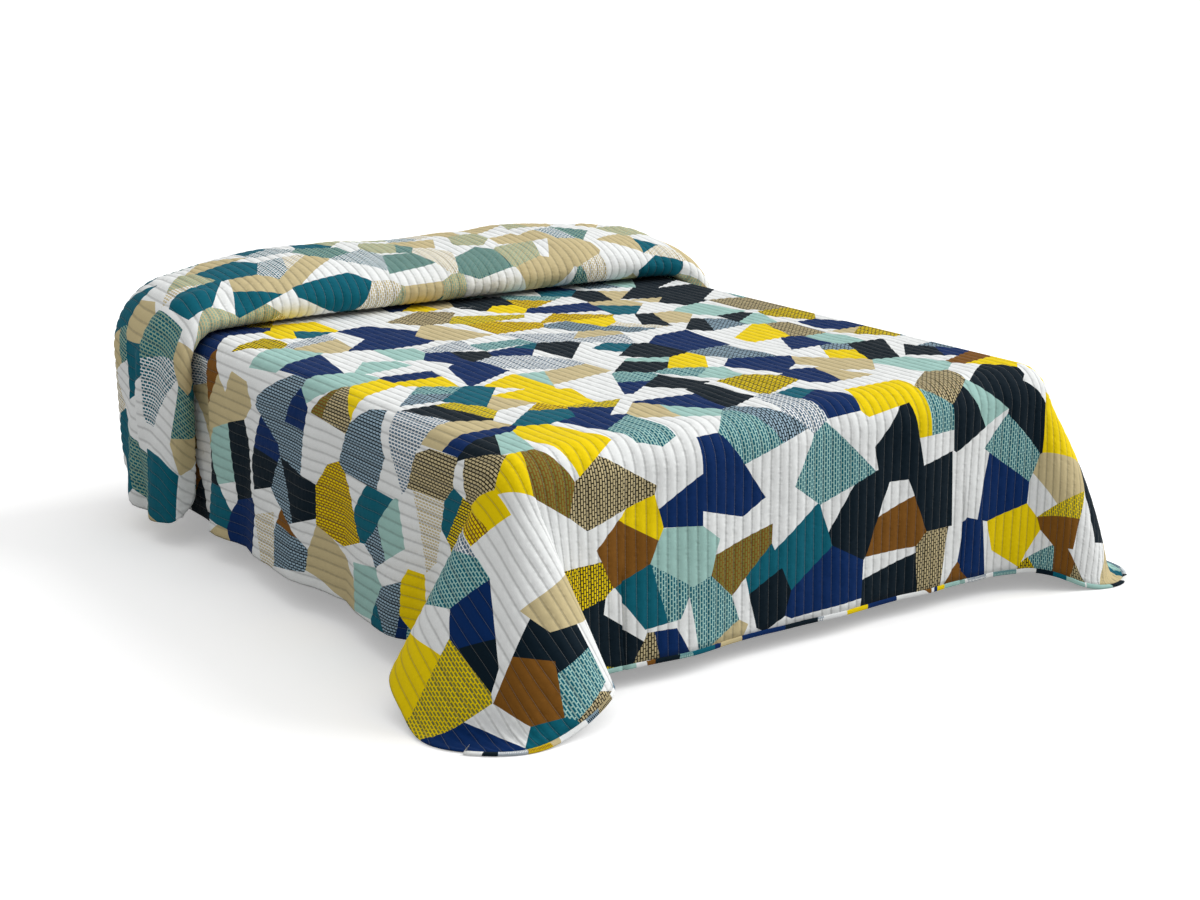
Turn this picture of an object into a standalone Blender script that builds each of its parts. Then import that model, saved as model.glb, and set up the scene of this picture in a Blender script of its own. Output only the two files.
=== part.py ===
"""A quilted bedspread lying on a plain double bed, its head end turned back over two pillows.

Metres, +Z up. The floor is z = 0, the bed's middle is x = y = 0 and its foot faces -Y.
The near side of the bed is -X and the far side is +X.
"""
from math import atan2, cos, hypot, pi, sin, sqrt

import bmesh
import bpy
from mathutils import Vector

# The bed
MATTRESS_WIDTH = 1.50
MATTRESS_LENGTH = 1.90
MATTRESS_HEIGHT = 0.26
MATTRESS_TOP = 0.514
MATTRESS_ROUNDING = 0.085
FITTING_GAP = 0.0003          # between pieces that touch on the real bed
BASE_INSET = 0.010
BASE_BOTTOM = 0.085
PLINTH_INSET = 0.200
BOX_ROUNDING = 0.006
ROUNDING_STEPS = 4

# The pillows under the turned-back end
PILLOW_WIDTH = 0.600
PILLOW_DEPTH = 0.310
PILLOW_HEIGHT = 0.090
PILLOW_ROUNDING = 0.040
PILLOW_X = 0.338
PILLOW_Y = 0.690

# The quilted cloth, laid flat: u runs across it and v from the foot hem to the head hem
CHANNEL_PITCH = 0.0246
CHANNELS = 96
RIB_PITCH = 2 * CHANNEL_PITCH         # every second channel is raised, to keep the solid light
RIBS = CHANNELS // 2
RIB_HEIGHT = 0.002
CLOTH_THICKNESS = 0.004
CLOTH_HALF = CHANNELS * CHANNEL_PITCH / 2
CORNER_ROUNDING = 0.236
BINDING_WIDTH = 0.011

# How it falls
SIDE_GAP = 0.010              # from the bed's sides
FOLD_RADIUS = 0.071           # over the mattress's edge
FOOT_FALL = 0.503             # cloth from the foot fold to the foot hem
FLOOR_BEND = 0.015            # how softly the corners turn where they reach the floor
LEAN_START = 0.45             # share of the fold after which a slanting stretch leans out
LEAN_BEND = 0.118             # length over which it bends to its slant
FAR_BELLY = 0.5               # how far the far corner bellies out above its foot
FLOOR_CLEARANCE = 0.0008
TURN_FLAT = 0.536             # cloth lying under the pillows
TURN_AHEAD_Y = 0.282          # where that stretch starts
TURN_DEPTH = 0.467            # the roll over the pillows, at the middle of the bed
TURN_HEIGHT = 0.139

CLOTH_BOTTOM = MATTRESS_TOP + FITTING_GAP
FLAT_X = MATTRESS_WIDTH / 2 + SIDE_GAP - FOLD_RADIUS
FLAT_Y = MATTRESS_LENGTH / 2 + SIDE_GAP - FOLD_RADIUS
FOLD_ARC = FOLD_RADIUS * pi / 2
HANG_TOP = CLOTH_BOTTOM - FOLD_RADIUS

# The corner folds. Columns: place round the corner, then x and y (towards the foot) where a line
# hanging from there would meet the floor. The place is 0 at the foot's end of the corner and 1 at
# the side's end, and goes on in metres along the foot (below 0) and along the side (above 1).
NEAR_CORNER = [
    (-0.214, 0.461, 0.961),
    (-0.139, 0.536, 0.961),
    (-0.091, 0.580, 0.967),
    (-0.048, 0.596, 0.986),
    (0.000, 0.570, 1.010),
    (0.045, 0.546, 1.042),
    (0.110, 0.580, 1.096),
    (0.220, 0.670, 1.124),
    (0.340, 0.774, 1.098),
    (0.460, 0.841, 1.041),
    (0.580, 0.905, 0.973),
    (0.700, 0.938, 0.889),
    (0.820, 0.937, 0.790),
    (0.930, 0.881, 0.720),
    (1.000, 0.820, 0.684),
    (1.075, 0.774, 0.652),
    (1.171, 0.774, 0.618),
    (1.279, 0.801, 0.564),
    (1.407, 0.795, 0.461),
]
FAR_CORNER = [
    (-0.214, 0.461, 0.963),
    (-0.107, 0.562, 0.972),
    (0.000, 0.650, 0.993),
    (0.120, 0.707, 1.034),
    (0.250, 0.761, 1.068),
    (0.380, 0.834, 1.071),
    (0.500, 0.900, 1.019),
    (0.620, 0.936, 0.948),
    (0.740, 0.936, 0.878),
    (0.860, 0.888, 0.820),
    (0.950, 0.825, 0.784),
    (1.032, 0.793, 0.752),
    (1.129, 0.784, 0.682),
    (1.268, 0.780, 0.591),
    (1.407, 0.780, 0.461),
]
# The soft folds of the straight falls. Columns: y along the side, how far the hem stands out.
NEAR_SIDE = [
    (-0.468, 0.034),
    (-0.382, 0.013),
    (-0.253, 0.015),
    (-0.103, 0.045),
    (0.068, 0.043),
    (0.186, 0.017),
    (0.288, 0.050),
    (0.335, 0.030),
    (0.391, 0.005),
    (0.450, 0.000),
    (0.500, 0.000),
    (0.925, 0.000),
]
FAR_SIDE = [
    (-0.468, 0.019),
    (-0.253, 0.004),
    (-0.061, 0.032),
    (0.132, 0.006),
    (0.250, 0.030),
    (0.347, 0.000),
    (0.925, 0.000),
]
# Columns: x along the foot, how far the hem stands out.
FOOT = [
    (-0.482, 0.001),
    (-0.321, 0.013),
    (-0.129, 0.002),
    (0.064, 0.013),
    (0.257, 0.002),
    (0.482, 0.003),
]
# The roll over the pillows, from where the cloth leaves the mattress to its tucked end.
# Columns: share of the depth from front to back, share of the height.
TURN_PROFILE = [
    (0.840, 0.000),
    (0.940, 0.060),
    (0.990, 0.220),
    (1.000, 0.450),
    (0.970, 0.720),
    (0.880, 0.910),
    (0.740, 1.000),
    (0.550, 1.010),
    (0.360, 0.960),
    (0.180, 0.850),
    (0.055, 0.660),
    (0.000, 0.430),
    (0.015, 0.240),
    (0.060, 0.125),
    (0.130, 0.100),
]
# Columns: u across the cloth, height of the roll, y of its front, y of its back.
TURN_SIZES = [
    (-1.183, 0.107, 0.424, 0.780),
    (-1.018, 0.105, 0.426, 0.791),
    (-0.879, 0.103, 0.418, 0.807),
    (-0.771, 0.103, 0.432, 0.839),
    (-0.664, 0.114, 0.452, 0.877),
    (-0.536, 0.133, 0.462, 0.909),
    (-0.386, 0.148, 0.462, 0.925),
    (-0.193, 0.144, 0.460, 0.928),
    (0.000, 0.137, 0.458, 0.925),
    (0.193, 0.144, 0.454, 0.928),
    (0.364, 0.149, 0.452, 0.925),
    (0.536, 0.137, 0.448, 0.914),
    (0.664, 0.120, 0.438, 0.882),
    (0.793, 0.109, 0.411, 0.845),
    (0.964, 0.105, 0.389, 0.818),
    (1.183, 0.102, 0.389, 0.807),
]
# Columns: share of the way along the roll, height of its side hem, how far that folds outwards.
TURN_HEM = [
    (0.000, 0.062, 0.000),
    (0.120, 0.107, 0.000),
    (0.250, 0.145, 0.000),
    (0.360, 0.123, 0.000),
    (0.460, 0.071, 0.004),
    (0.520, 0.056, -0.017),
    (0.600, 0.056, 0.013),
    (0.750, 0.046, 0.018),
    (0.860, 0.008, 0.030),
    (0.930, -0.022, 0.030),
    (1.000, -0.046, 0.020),
]
# Rows of the cloth's grid. Columns: cloth length from the foot hem, spaces up to the next row.
TURN_V = FOOT_FALL + FLAT_Y + TURN_AHEAD_Y + TURN_FLAT
ROW_STRETCHES = [
    (0.000, 6),
    (FOOT_FALL - FOLD_ARC, 3),
    (FOOT_FALL, 12),
    (FOOT_FALL + FLAT_Y + TURN_AHEAD_Y, 4),
    (TURN_V, 13),
]

# Colours of the materials
FACE_COLOUR = (0.46, 0.50, 0.50)
BINDING_COLOUR = (0.10, 0.22, 0.26)
MATTRESS_COLOUR = (0.80, 0.79, 0.76)
BASE_COLOUR = (0.42, 0.41, 0.39)
PLINTH_COLOUR = (0.10, 0.10, 0.10)
PILLOW_COLOUR = (0.85, 0.85, 0.84)


# The shape of the draped cloth

def ease(t):
    """0 to 1 with soft ends."""
    t = min(max(t, 0.0), 1.0)
    return t * t * (3 - 2 * t)


def follow(rows, t):
    """The other columns' values where the first column is t, on a smooth curve through the rows."""
    if t <= rows[0][0]:
        return rows[0][1:]
    if t >= rows[-1][0]:
        return rows[-1][1:]
    i = 0
    while rows[i + 1][0] < t:
        i += 1
    before, here = rows[max(i - 1, 0)], rows[i]
    there, after = rows[i + 1], rows[min(i + 2, len(rows) - 1)]
    span = there[0] - here[0]
    k = (t - here[0]) / span
    values = []
    for c in range(1, len(here)):
        leave = (there[c] - before[c]) / (there[0] - before[0]) * span
        arrive = (after[c] - here[c]) / (after[0] - here[0]) * span
        values.append(here[c] * (1 + 2 * k) * (1 - k)**2 + leave * k * (1 - k)**2
                      + there[c] * k * k * (3 - 2 * k) + arrive * k * k * (k - 1))
    return tuple(values)


def by_length(profile, steps=300):
    """The roll's profile as rows of (share of its length, depth share, height share)."""
    rows = [(i / (len(profile) - 1),) + row for i, row in enumerate(profile)]
    points = [follow(rows, i / steps) for i in range(steps + 1)]
    run = [0.0]
    for a, b in zip(points, points[1:]):
        run.append(run[-1] + hypot((b[0] - a[0]) * TURN_DEPTH, (b[1] - a[1]) * TURN_HEIGHT))
    return [(length / run[-1],) + point for length, point in zip(run, points)], run[-1]


TURN_CURVE, TURN_LENGTH = by_length(TURN_PROFILE)
CLOTH_LENGTH = TURN_V + TURN_LENGTH - BINDING_WIDTH


def lean_growth(length):
    """How far a slanting stretch has leant out, bending in softly from the fold."""
    if length < LEAN_BEND:
        return max(length, 0.0)**2 / (2 * LEAN_BEND)
    return length - LEAN_BEND / 2


def hang(root, out, length, floor, belly=0.0):
    """A point that far past the fold line at root, falling outwards and down towards the floor point."""
    turn = min(length / FOLD_RADIUS, pi / 2)
    x = root[0] + out[0] * FOLD_RADIUS * sin(turn)
    y = root[1] + out[1] * FOLD_RADIUS * sin(turn)
    z = CLOTH_BOTTOM - FOLD_RADIUS * (1 - cos(turn))
    lean_x = floor[0] - root[0] - out[0] * FOLD_RADIUS
    lean_y = floor[1] - root[1] - out[1] * FOLD_RADIUS
    lean = hypot(lean_x, lean_y)
    start = FOLD_ARC * LEAN_START
    share = lean_growth(length - start) / lean_growth(HANG_TOP + FOLD_ARC - start)
    share += belly * share * (1 - share)
    if length > FOLD_ARC:
        z -= (length - FOLD_ARC) / sqrt(1 + 0.5 * (lean / HANG_TOP)**2)
    if z < 2 * FLOOR_BEND:
        low = max(z, -2 * FLOOR_BEND)
        rested = FLOOR_CLEARANCE + low + (2 * FLOOR_BEND - low)**2 / (8 * FLOOR_BEND)
        share += (rested - z) / max(lean, 0.02)
        z = rested
    return x + lean_x * share, y + lean_y * share, z


def corner_place(u, v):
    """A point of a foot corner: both sides' falls meet there and the spare cloth stands out."""
    du, dv = abs(u) - FLAT_X, FOOT_FALL - v
    angle = atan2(du, dv)
    table, belly = (FAR_CORNER, FAR_BELLY) if u > 0 else (NEAR_CORNER, 0.0)
    floor = follow(table, angle / (pi / 2))
    return hang((FLAT_X, FLAT_Y), (sin(angle), cos(angle)), hypot(du, dv), floor, belly)


def foot_place(u, v):
    """A point of the fall at the foot, drawn into the corner's fold near its ends."""
    table, belly = (FAR_CORNER, FAR_BELLY) if u > 0 else (NEAR_CORNER, 0.0)
    place = abs(u) - FLAT_X
    plain = FLAT_Y + FOLD_RADIUS + follow(FOOT, u)[0]
    floor = (abs(u), plain)
    blend = ease((place - table[0][0]) / 0.05)
    if blend > 0:
        corner = follow(table, place)
        floor = (corner[0], plain + (corner[1] - plain) * blend)
    return hang((abs(u), FLAT_Y), (0, 1), FOOT_FALL - v, floor, belly * blend)


def side_place(u, v, y):
    """A point of the fall at a side, drawn into the corner's fold near the foot."""
    table, belly = (FAR_CORNER, FAR_BELLY) if u > 0 else (NEAR_CORNER, 0.0)
    place = 1 + v - FOOT_FALL
    plain = FLAT_X + FOLD_RADIUS + follow(FAR_SIDE if u > 0 else NEAR_SIDE, y)[0]
    floor = (plain, -y)
    blend = ease((table[-1][0] - place) / 0.05)
    if blend > 0:
        corner = follow(table, place)
        floor = (plain + (corner[0] - plain) * blend, -y + (corner[1] + y) * blend)
    return hang((FLAT_X, -y), (1, 0), abs(u) - FLAT_X, floor, belly * blend)


def turned_place(u, v):
    """A point of the stretch that rolls back over the pillows, as (side offset, y, z)."""
    height, front, back = follow(TURN_SIZES, u)
    along = min((v - TURN_V) / TURN_LENGTH, 1.0)
    i = min(int(along * (len(TURN_CURVE) - 1)), len(TURN_CURVE) - 2)
    while TURN_CURVE[i][0] > along:
        i -= 1
    while TURN_CURVE[i + 1][0] < along:
        i += 1
    here, there = TURN_CURVE[i], TURN_CURVE[i + 1]
    k = (along - here[0]) / (there[0] - here[0])
    depth = here[1] + (there[1] - here[1]) * k
    rise = height * (here[2] + (there[2] - here[2]) * k)
    y = front + (back - front) * depth
    past = abs(u) - FLAT_X
    if past <= 0:
        return abs(u), y, CLOTH_BOTTOM + rise
    hem, fold = follow(TURN_HEM, along)
    radius = FOLD_RADIUS + rise
    arc = radius * pi / 2
    fall = HANG_TOP - hem
    length = past / (CLOTH_HALF - FLAT_X) * (arc + fall)
    turn = min(length / radius, pi / 2)
    x = FLAT_X + radius * sin(turn)
    z = CLOTH_BOTTOM + rise - radius * (1 - cos(turn)) - max(length - arc, 0.0)
    return x + fold * ease((length - arc * 0.6) / fall) * ease(rise / 0.04), y, z


def lay(u, v):
    """Where the point u, v of the flat cloth's underside lies on the bed."""
    side = 1 if u > 0 else -1
    past_side, past_foot = abs(u) > FLAT_X, v < FOOT_FALL
    if past_foot:
        x, y, z = corner_place(u, v) if past_side else foot_place(u, v)
        return Vector((side * x, -y, z))
    if v > TURN_V:
        x, y, z = turned_place(u, v)
        return Vector((side * x, y, z))
    y = v - FOOT_FALL - FLAT_Y
    if y > TURN_AHEAD_Y:
        height, front, back = follow(TURN_SIZES, u)
        turn_y = front + (back - front) * TURN_PROFILE[0][0]
        y = TURN_AHEAD_Y + (turn_y - TURN_AHEAD_Y) * (y - TURN_AHEAD_Y) / TURN_FLAT
    if past_side:
        x, y, z = side_place(u, v, y)
        return Vector((side * x, -y, z))
    return Vector((u, y, CLOTH_BOTTOM))


def facing(u, v, step=0.002):
    """The direction that the cloth's printed face looks in at u, v."""
    across = lay(u + step, v) - lay(u - step, v)
    along = lay(u, v + step) - lay(u, v - step)
    return across.cross(along).normalized()


def round_corner(u, v):
    """Moves a point of the full rectangle inwards so that the four corners are rounded."""
    side = 1 if u > 0 else -1
    a = (abs(u) - (CLOTH_HALF - CORNER_ROUNDING)) / CORNER_ROUNDING
    from_end = min(v, CLOTH_LENGTH - v)
    b = (CORNER_ROUNDING - from_end) / CORNER_ROUNDING
    if a <= 0 or b <= 0:
        return u, v
    new_a = a * sqrt(1 - b * b / 2)
    new_b = b * sqrt(1 - a * a / 2)
    u = side * (CLOTH_HALF - CORNER_ROUNDING + new_a * CORNER_ROUNDING)
    inwards = CORNER_ROUNDING * (1 - new_b)
    return u, inwards if v < CLOTH_LENGTH / 2 else CLOTH_LENGTH - inwards


def in_corner(u, v):
    """Whether a point is in a foot corner's folds, where the underside needs every column."""
    return abs(u) > FLAT_X - 0.16 and v < FOOT_FALL - FOLD_ARC + 0.001


def grid_lines():
    """The flat cloth's grid: u of each column (two to a rib) and v of each row."""
    columns = [-CLOTH_HALF + i * RIB_PITCH / 2 for i in range(2 * RIBS + 1)]
    ends = [start for start, spaces in ROW_STRETCHES[1:]] + [CLOTH_LENGTH]
    rows = []
    for (start, spaces), end in zip(ROW_STRETCHES, ends):
        rows += [start + (end - start) * i / spaces for i in range(spaces)]
    return columns, rows + [CLOTH_LENGTH]


# Blender helpers

def start_empty():
    for thing in list(bpy.data.objects):
        bpy.data.objects.remove(thing, do_unlink=True)
    collection = bpy.data.collections.new("bedspread_on_bed")
    bpy.context.scene.collection.children.link(collection)
    return collection


def material(name, colour, roughness):
    made = bpy.data.materials.new(name)
    made.use_nodes = True
    shader = made.node_tree.nodes["Principled BSDF"]
    shader.inputs["Base Color"].default_value = (*colour, 1)
    shader.inputs["Roughness"].default_value = roughness
    shader.inputs["Metallic"].default_value = 0
    return made


def to_object(name, mesh_maker, finish, collection):
    mesh = bpy.data.meshes.new(name)
    bm = bmesh.new()
    mesh_maker(bm)
    bmesh.ops.recalc_face_normals(bm, faces=bm.faces)
    bm.to_mesh(mesh)
    bm.free()
    made = bpy.data.objects.new(name, mesh)
    made.data.materials.append(finish)
    collection.objects.link(made)
    return made


def rounded_box(name, size, bottom_middle, rounding, finish, collection):
    """A box with rounded edges, standing on its bottom's middle point."""
    def fill(bm):
        bmesh.ops.create_cube(bm, size=1)
        bmesh.ops.scale(bm, vec=size, verts=bm.verts)

    box = to_object(name, fill, finish, collection)
    box.location = (bottom_middle[0], bottom_middle[1], bottom_middle[2] + size[2] / 2)
    bevel = box.modifiers.new("rounded edges", "BEVEL")
    bevel.width = rounding
    bevel.segments = ROUNDING_STEPS
    bevel.limit_method = "NONE"
    return box


# The pieces

def make_bedspread(finish, collection):
    """The quilted sheet, its ribs raised on the printed face. A loft, as it is folded freely."""
    columns, rows = grid_lines()
    last_row = len(rows) - 1

    def fill(bm):
        face_side, under_side = [], []
        for r, v in enumerate(rows):
            tops, bottoms = [], []
            for c, u in enumerate(columns):
                spot = round_corner(u, v)
                under = lay(*spot)
                rib = RIB_HEIGHT if c % 2 and 0 < r < last_row else 0.0
                tops.append(bm.verts.new(under + facing(*spot) * (CLOTH_THICKNESS + rib)))
                kept = c % 2 == 0 or r in (0, last_row) or in_corner(u, v)
                bottoms.append(bm.verts.new(under) if kept else None)
            face_side.append(tops)
            under_side.append(bottoms)
        for r in range(last_row):
            for c in range(len(columns) - 1):
                near, far = face_side[r], face_side[r + 1]
                bm.faces.new((near[c], near[c + 1], far[c + 1], far[c]))
            for c in range(0, len(columns) - 1, 2):
                near, far = under_side[r], under_side[r + 1]
                if near[c + 1] and far[c + 1]:
                    bm.faces.new((far[c], far[c + 1], near[c + 1], near[c]))
                    bm.faces.new((far[c + 1], far[c + 2], near[c + 2], near[c + 1]))
                else:
                    loop = [far[c], far[c + 1], far[c + 2], near[c + 2], near[c + 1], near[c]]
                    bm.faces.new([corner for corner in loop if corner])
        for r in (0, last_row):
            for c in range(len(columns) - 1):
                top, under = face_side[r], under_side[r]
                loop = [top[c], under[c], under[c + 1], top[c + 1]]
                bm.faces.new(loop if r == 0 else loop[::-1])
        for c in (0, -1):
            for r in range(last_row):
                near, far = face_side[r][c], face_side[r + 1][c]
                near_under, far_under = under_side[r][c], under_side[r + 1][c]
                if c == 0:
                    bm.faces.new((far, far_under, near_under, near))
                else:
                    bm.faces.new((far_under, far, near, near_under))

    return to_object("bedspread", fill, finish, collection)


def edge_spots():
    """The grid's outer points in order round the cloth, each with its outward direction when flat."""
    columns, rows = grid_lines()
    spots = [(u, 0.0) for u in columns]
    spots += [(CLOTH_HALF, v) for v in rows[1:]]
    spots += [(u, CLOTH_LENGTH) for u in reversed(columns[:-1])]
    spots += [(-CLOTH_HALF, v) for v in reversed(rows[1:-1])]
    rounded = [round_corner(u, v) for u, v in spots]
    found = []
    for spot in rounded:
        u, v = spot
        middle_u = min(max(u, CORNER_ROUNDING - CLOTH_HALF), CLOTH_HALF - CORNER_ROUNDING)
        middle_v = min(max(v, CORNER_ROUNDING), CLOTH_LENGTH - CORNER_ROUNDING)
        out_u, out_v = u - middle_u, v - middle_v
        size = hypot(out_u, out_v)
        found.append((u, v, out_u / size, out_v / size))
    return found


def make_binding(finish, collection):
    """The narrow band of the same print that is sewn round the cut edge."""
    spots = edge_spots()

    def fill(bm):
        rings = []
        for u, v, out_u, out_v in spots:
            edge = lay(u, v)
            normal = facing(u, v)
            step = 0.002
            beyond = lay(u + out_u * BINDING_WIDTH / 2, v + out_v * BINDING_WIDTH / 2)
            before = lay(u - out_u * step, v - out_v * step)
            out = beyond - before
            out = (out - normal * out.dot(normal)).normalized()
            inner = edge + out * FITTING_GAP
            outer = edge + out * BINDING_WIDTH
            outer.z = max(outer.z, FLOOR_CLEARANCE)
            lifted = normal * CLOTH_THICKNESS
            corners = [inner, outer, outer + lifted, inner + lifted]
            rings.append([bm.verts.new(corner) for corner in corners])
        for here, there in zip(rings, rings[1:] + rings[:1]):
            for i in range(4):
                j = (i + 1) % 4
                bm.faces.new((here[i], here[j], there[j], there[i]))

    return to_object("binding", fill, finish, collection)


def make_bed(collection):
    mattress_bottom = MATTRESS_TOP - MATTRESS_HEIGHT
    size = (MATTRESS_WIDTH, MATTRESS_LENGTH, MATTRESS_HEIGHT)
    rounded_box("mattress", size, (0, 0, mattress_bottom), MATTRESS_ROUNDING,
                material("mattress_cover", MATTRESS_COLOUR, 0.9), collection)
    size = (MATTRESS_WIDTH - 2 * BASE_INSET, MATTRESS_LENGTH - 2 * BASE_INSET,
            mattress_bottom - FITTING_GAP - BASE_BOTTOM)
    rounded_box("base", size, (0, 0, BASE_BOTTOM), BOX_ROUNDING,
                material("base_cover", BASE_COLOUR, 0.85), collection)
    size = (MATTRESS_WIDTH - 2 * PLINTH_INSET, MATTRESS_LENGTH - 2 * PLINTH_INSET,
            BASE_BOTTOM - FITTING_GAP)
    rounded_box("plinth", size, (0, 0, 0), BOX_ROUNDING,
                material("plinth_paint", PLINTH_COLOUR, 0.6), collection)


def make_pillows(collection):
    rest = CLOTH_BOTTOM + CLOTH_THICKNESS + RIB_HEIGHT + FITTING_GAP
    finish = material("pillow_cotton", PILLOW_COLOUR, 0.9)
    for name, x in (("pillow_near", -PILLOW_X), ("pillow_far", PILLOW_X)):
        rounded_box(name, (PILLOW_WIDTH, PILLOW_DEPTH, PILLOW_HEIGHT), (x, PILLOW_Y, rest),
                    PILLOW_ROUNDING, finish, collection)


def main():
    collection = start_empty()
    make_bed(collection)
    make_pillows(collection)
    make_bedspread(material("quilted_cotton", FACE_COLOUR, 0.9), collection)
    make_binding(material("binding_cotton", BINDING_COLOUR, 0.85), collection)


main()
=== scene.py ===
# %% [markdown]
# # A quilted bedspread on a double bed
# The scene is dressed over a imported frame: simple solids that say where each piece lies.
# Loading the frame first means that every new piece can be measured from it and rides on it.

# %% Load the frame
from math import atan2, cos, hypot, pi, radians, sin, sqrt

import bpy
import numpy as np
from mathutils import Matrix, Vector


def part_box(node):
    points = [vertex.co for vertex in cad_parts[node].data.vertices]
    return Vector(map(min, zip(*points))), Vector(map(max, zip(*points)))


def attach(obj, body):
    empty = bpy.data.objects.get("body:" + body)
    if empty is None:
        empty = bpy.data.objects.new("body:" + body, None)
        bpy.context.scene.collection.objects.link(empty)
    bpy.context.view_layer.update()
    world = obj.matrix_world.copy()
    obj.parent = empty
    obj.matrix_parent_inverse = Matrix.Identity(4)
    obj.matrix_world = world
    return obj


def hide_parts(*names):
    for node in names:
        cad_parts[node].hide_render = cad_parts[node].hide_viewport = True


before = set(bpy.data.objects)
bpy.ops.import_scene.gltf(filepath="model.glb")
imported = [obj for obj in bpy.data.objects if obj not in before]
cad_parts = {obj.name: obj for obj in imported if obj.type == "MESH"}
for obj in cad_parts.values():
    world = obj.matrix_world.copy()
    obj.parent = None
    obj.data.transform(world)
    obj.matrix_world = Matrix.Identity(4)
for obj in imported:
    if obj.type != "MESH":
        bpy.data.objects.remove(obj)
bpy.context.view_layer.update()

print("nodes:", sorted(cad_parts))

# %% [markdown]
# ## The camera
# The photograph looks down a little at the near foot corner. Its straight edges meet at two
# vanishing points, and those give the lens, the height and the way the camera faces. Setting the
# same camera first lets each later piece be compared with the photograph as it is made.

# %% Camera
LENS = 59.14
CAMERA_PLACE = (-2.652, -4.015, 1.510)
CAMERA_TILT_DOWN = 15.02
CAMERA_TURN = 34.79

bpy.ops.object.select_all(action="DESELECT")
bpy.ops.object.camera_add(
    location=CAMERA_PLACE,
    rotation=(radians(90 - CAMERA_TILT_DOWN), 0, radians(-CAMERA_TURN)),
)
camera = bpy.context.object
camera.name = "camera"
camera.data.lens = LENS
camera.data.sensor_width = 36
camera.data.dof.use_dof = False
bpy.context.scene.camera = camera
print("camera lens", camera.data.lens)

# %% [markdown]
# ## How the cloth lies
# A real bedspread is cut flat and then falls over the bed. Cloth can be dropped by a simulation,
# but here every fold has to lie where its solid lies, so the flat cloth's mapping is given: u runs
# across it, v from the foot hem to the head hem, and a function says where each flat point goes.
# The same flat u and v then carry the print, the quilting and the stitches.

# %% Sizes of the bed and the cloth
MATTRESS_LOW, MATTRESS_HIGH = (Vector(corner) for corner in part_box("mattress"))
FITTING_GAP = 0.0003
CHANNEL_PITCH = 0.0246
CHANNELS = 96
CLOTH_HALF = CHANNELS * CHANNEL_PITCH / 2
CORNER_ROUNDING = 0.236
BINDING_WIDTH = 0.011
SIDE_GAP = 0.010
FOLD_RADIUS = 0.071
FOOT_FALL = 0.503
FLOOR_BEND = 0.015
LEAN_START = 0.45
LEAN_BEND = 0.118
FAR_BELLY = 0.5
FLOOR_CLEARANCE = 0.0008
TURN_FLAT = 0.536
TURN_AHEAD_Y = 0.282
TURN_DEPTH = 0.467
TURN_HEIGHT = 0.139
CORNER_BLEND = 0.05
ROLL_BLEND = 0.04

CLOTH_BOTTOM = MATTRESS_HIGH.z + FITTING_GAP
FLAT_X = MATTRESS_HIGH.x + SIDE_GAP - FOLD_RADIUS
FLAT_Y = MATTRESS_HIGH.y + SIDE_GAP - FOLD_RADIUS
FOLD_ARC = FOLD_RADIUS * pi / 2
HANG_TOP = CLOTH_BOTTOM - FOLD_RADIUS
TURN_V = FOOT_FALL + FLAT_Y + TURN_AHEAD_Y + TURN_FLAT
print("cloth width", round(2 * CLOTH_HALF, 3), "fall at the foot", FOOT_FALL)

# %% [markdown]
# Real folds follow no formula, so each is given as a few rows of a short table, and smooth curves
# run through the rows. At a foot corner they say where the hem of the cone lies. The rows were
# adjusted against the photograph where the cloth shows in it, and guessed elsewhere.

# %% Tables of the corner folds
# Columns: place round the corner, then x and y (towards the foot) where a line
# hanging from there would meet the floor. The place is 0 at the foot's end of the corner and 1 at
# the side's end, and goes on in metres along the foot (below 0) and along the side (above 1).
NEAR_CORNER = [
    (-0.214, 0.461, 0.961),
    (-0.139, 0.536, 0.961),
    (-0.091, 0.580, 0.967),
    (-0.048, 0.596, 0.986),
    (0.000, 0.570, 1.010),
    (0.045, 0.546, 1.042),
    (0.110, 0.580, 1.096),
    (0.220, 0.670, 1.124),
    (0.340, 0.774, 1.098),
    (0.460, 0.841, 1.041),
    (0.580, 0.905, 0.973),
    (0.700, 0.938, 0.889),
    (0.820, 0.937, 0.790),
    (0.930, 0.881, 0.720),
    (1.000, 0.820, 0.684),
    (1.075, 0.774, 0.652),
    (1.171, 0.774, 0.618),
    (1.279, 0.801, 0.564),
    (1.407, 0.795, 0.461),
]
FAR_CORNER = [
    (-0.214, 0.461, 0.963),
    (-0.107, 0.562, 0.972),
    (0.000, 0.650, 0.993),
    (0.120, 0.707, 1.034),
    (0.250, 0.761, 1.068),
    (0.380, 0.834, 1.071),
    (0.500, 0.900, 1.019),
    (0.620, 0.936, 0.948),
    (0.740, 0.936, 0.878),
    (0.860, 0.888, 0.820),
    (0.950, 0.825, 0.784),
    (1.032, 0.793, 0.752),
    (1.129, 0.784, 0.682),
    (1.268, 0.780, 0.591),
    (1.407, 0.780, 0.461),
]
print("rows for the corners:", len(NEAR_CORNER), len(FAR_CORNER))

# %% [markdown]
# Along the straight edges the cloth hangs nearly plain, with a few soft folds that grow towards
# the hem. The near side is the photographed one, and the far side is a calmer guess.

# %% Tables of the straight falls
# Columns: y along the side, how far the hem stands out.
NEAR_SIDE = [
    (-0.468, 0.034),
    (-0.382, 0.013),
    (-0.253, 0.015),
    (-0.103, 0.045),
    (0.068, 0.043),
    (0.186, 0.017),
    (0.288, 0.050),
    (0.335, 0.030),
    (0.391, 0.005),
    (0.450, 0.000),
    (0.500, 0.000),
    (0.925, 0.000),
]
FAR_SIDE = [
    (-0.468, 0.019),
    (-0.253, 0.004),
    (-0.061, 0.032),
    (0.132, 0.006),
    (0.250, 0.030),
    (0.347, 0.000),
    (0.925, 0.000),
]
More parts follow.
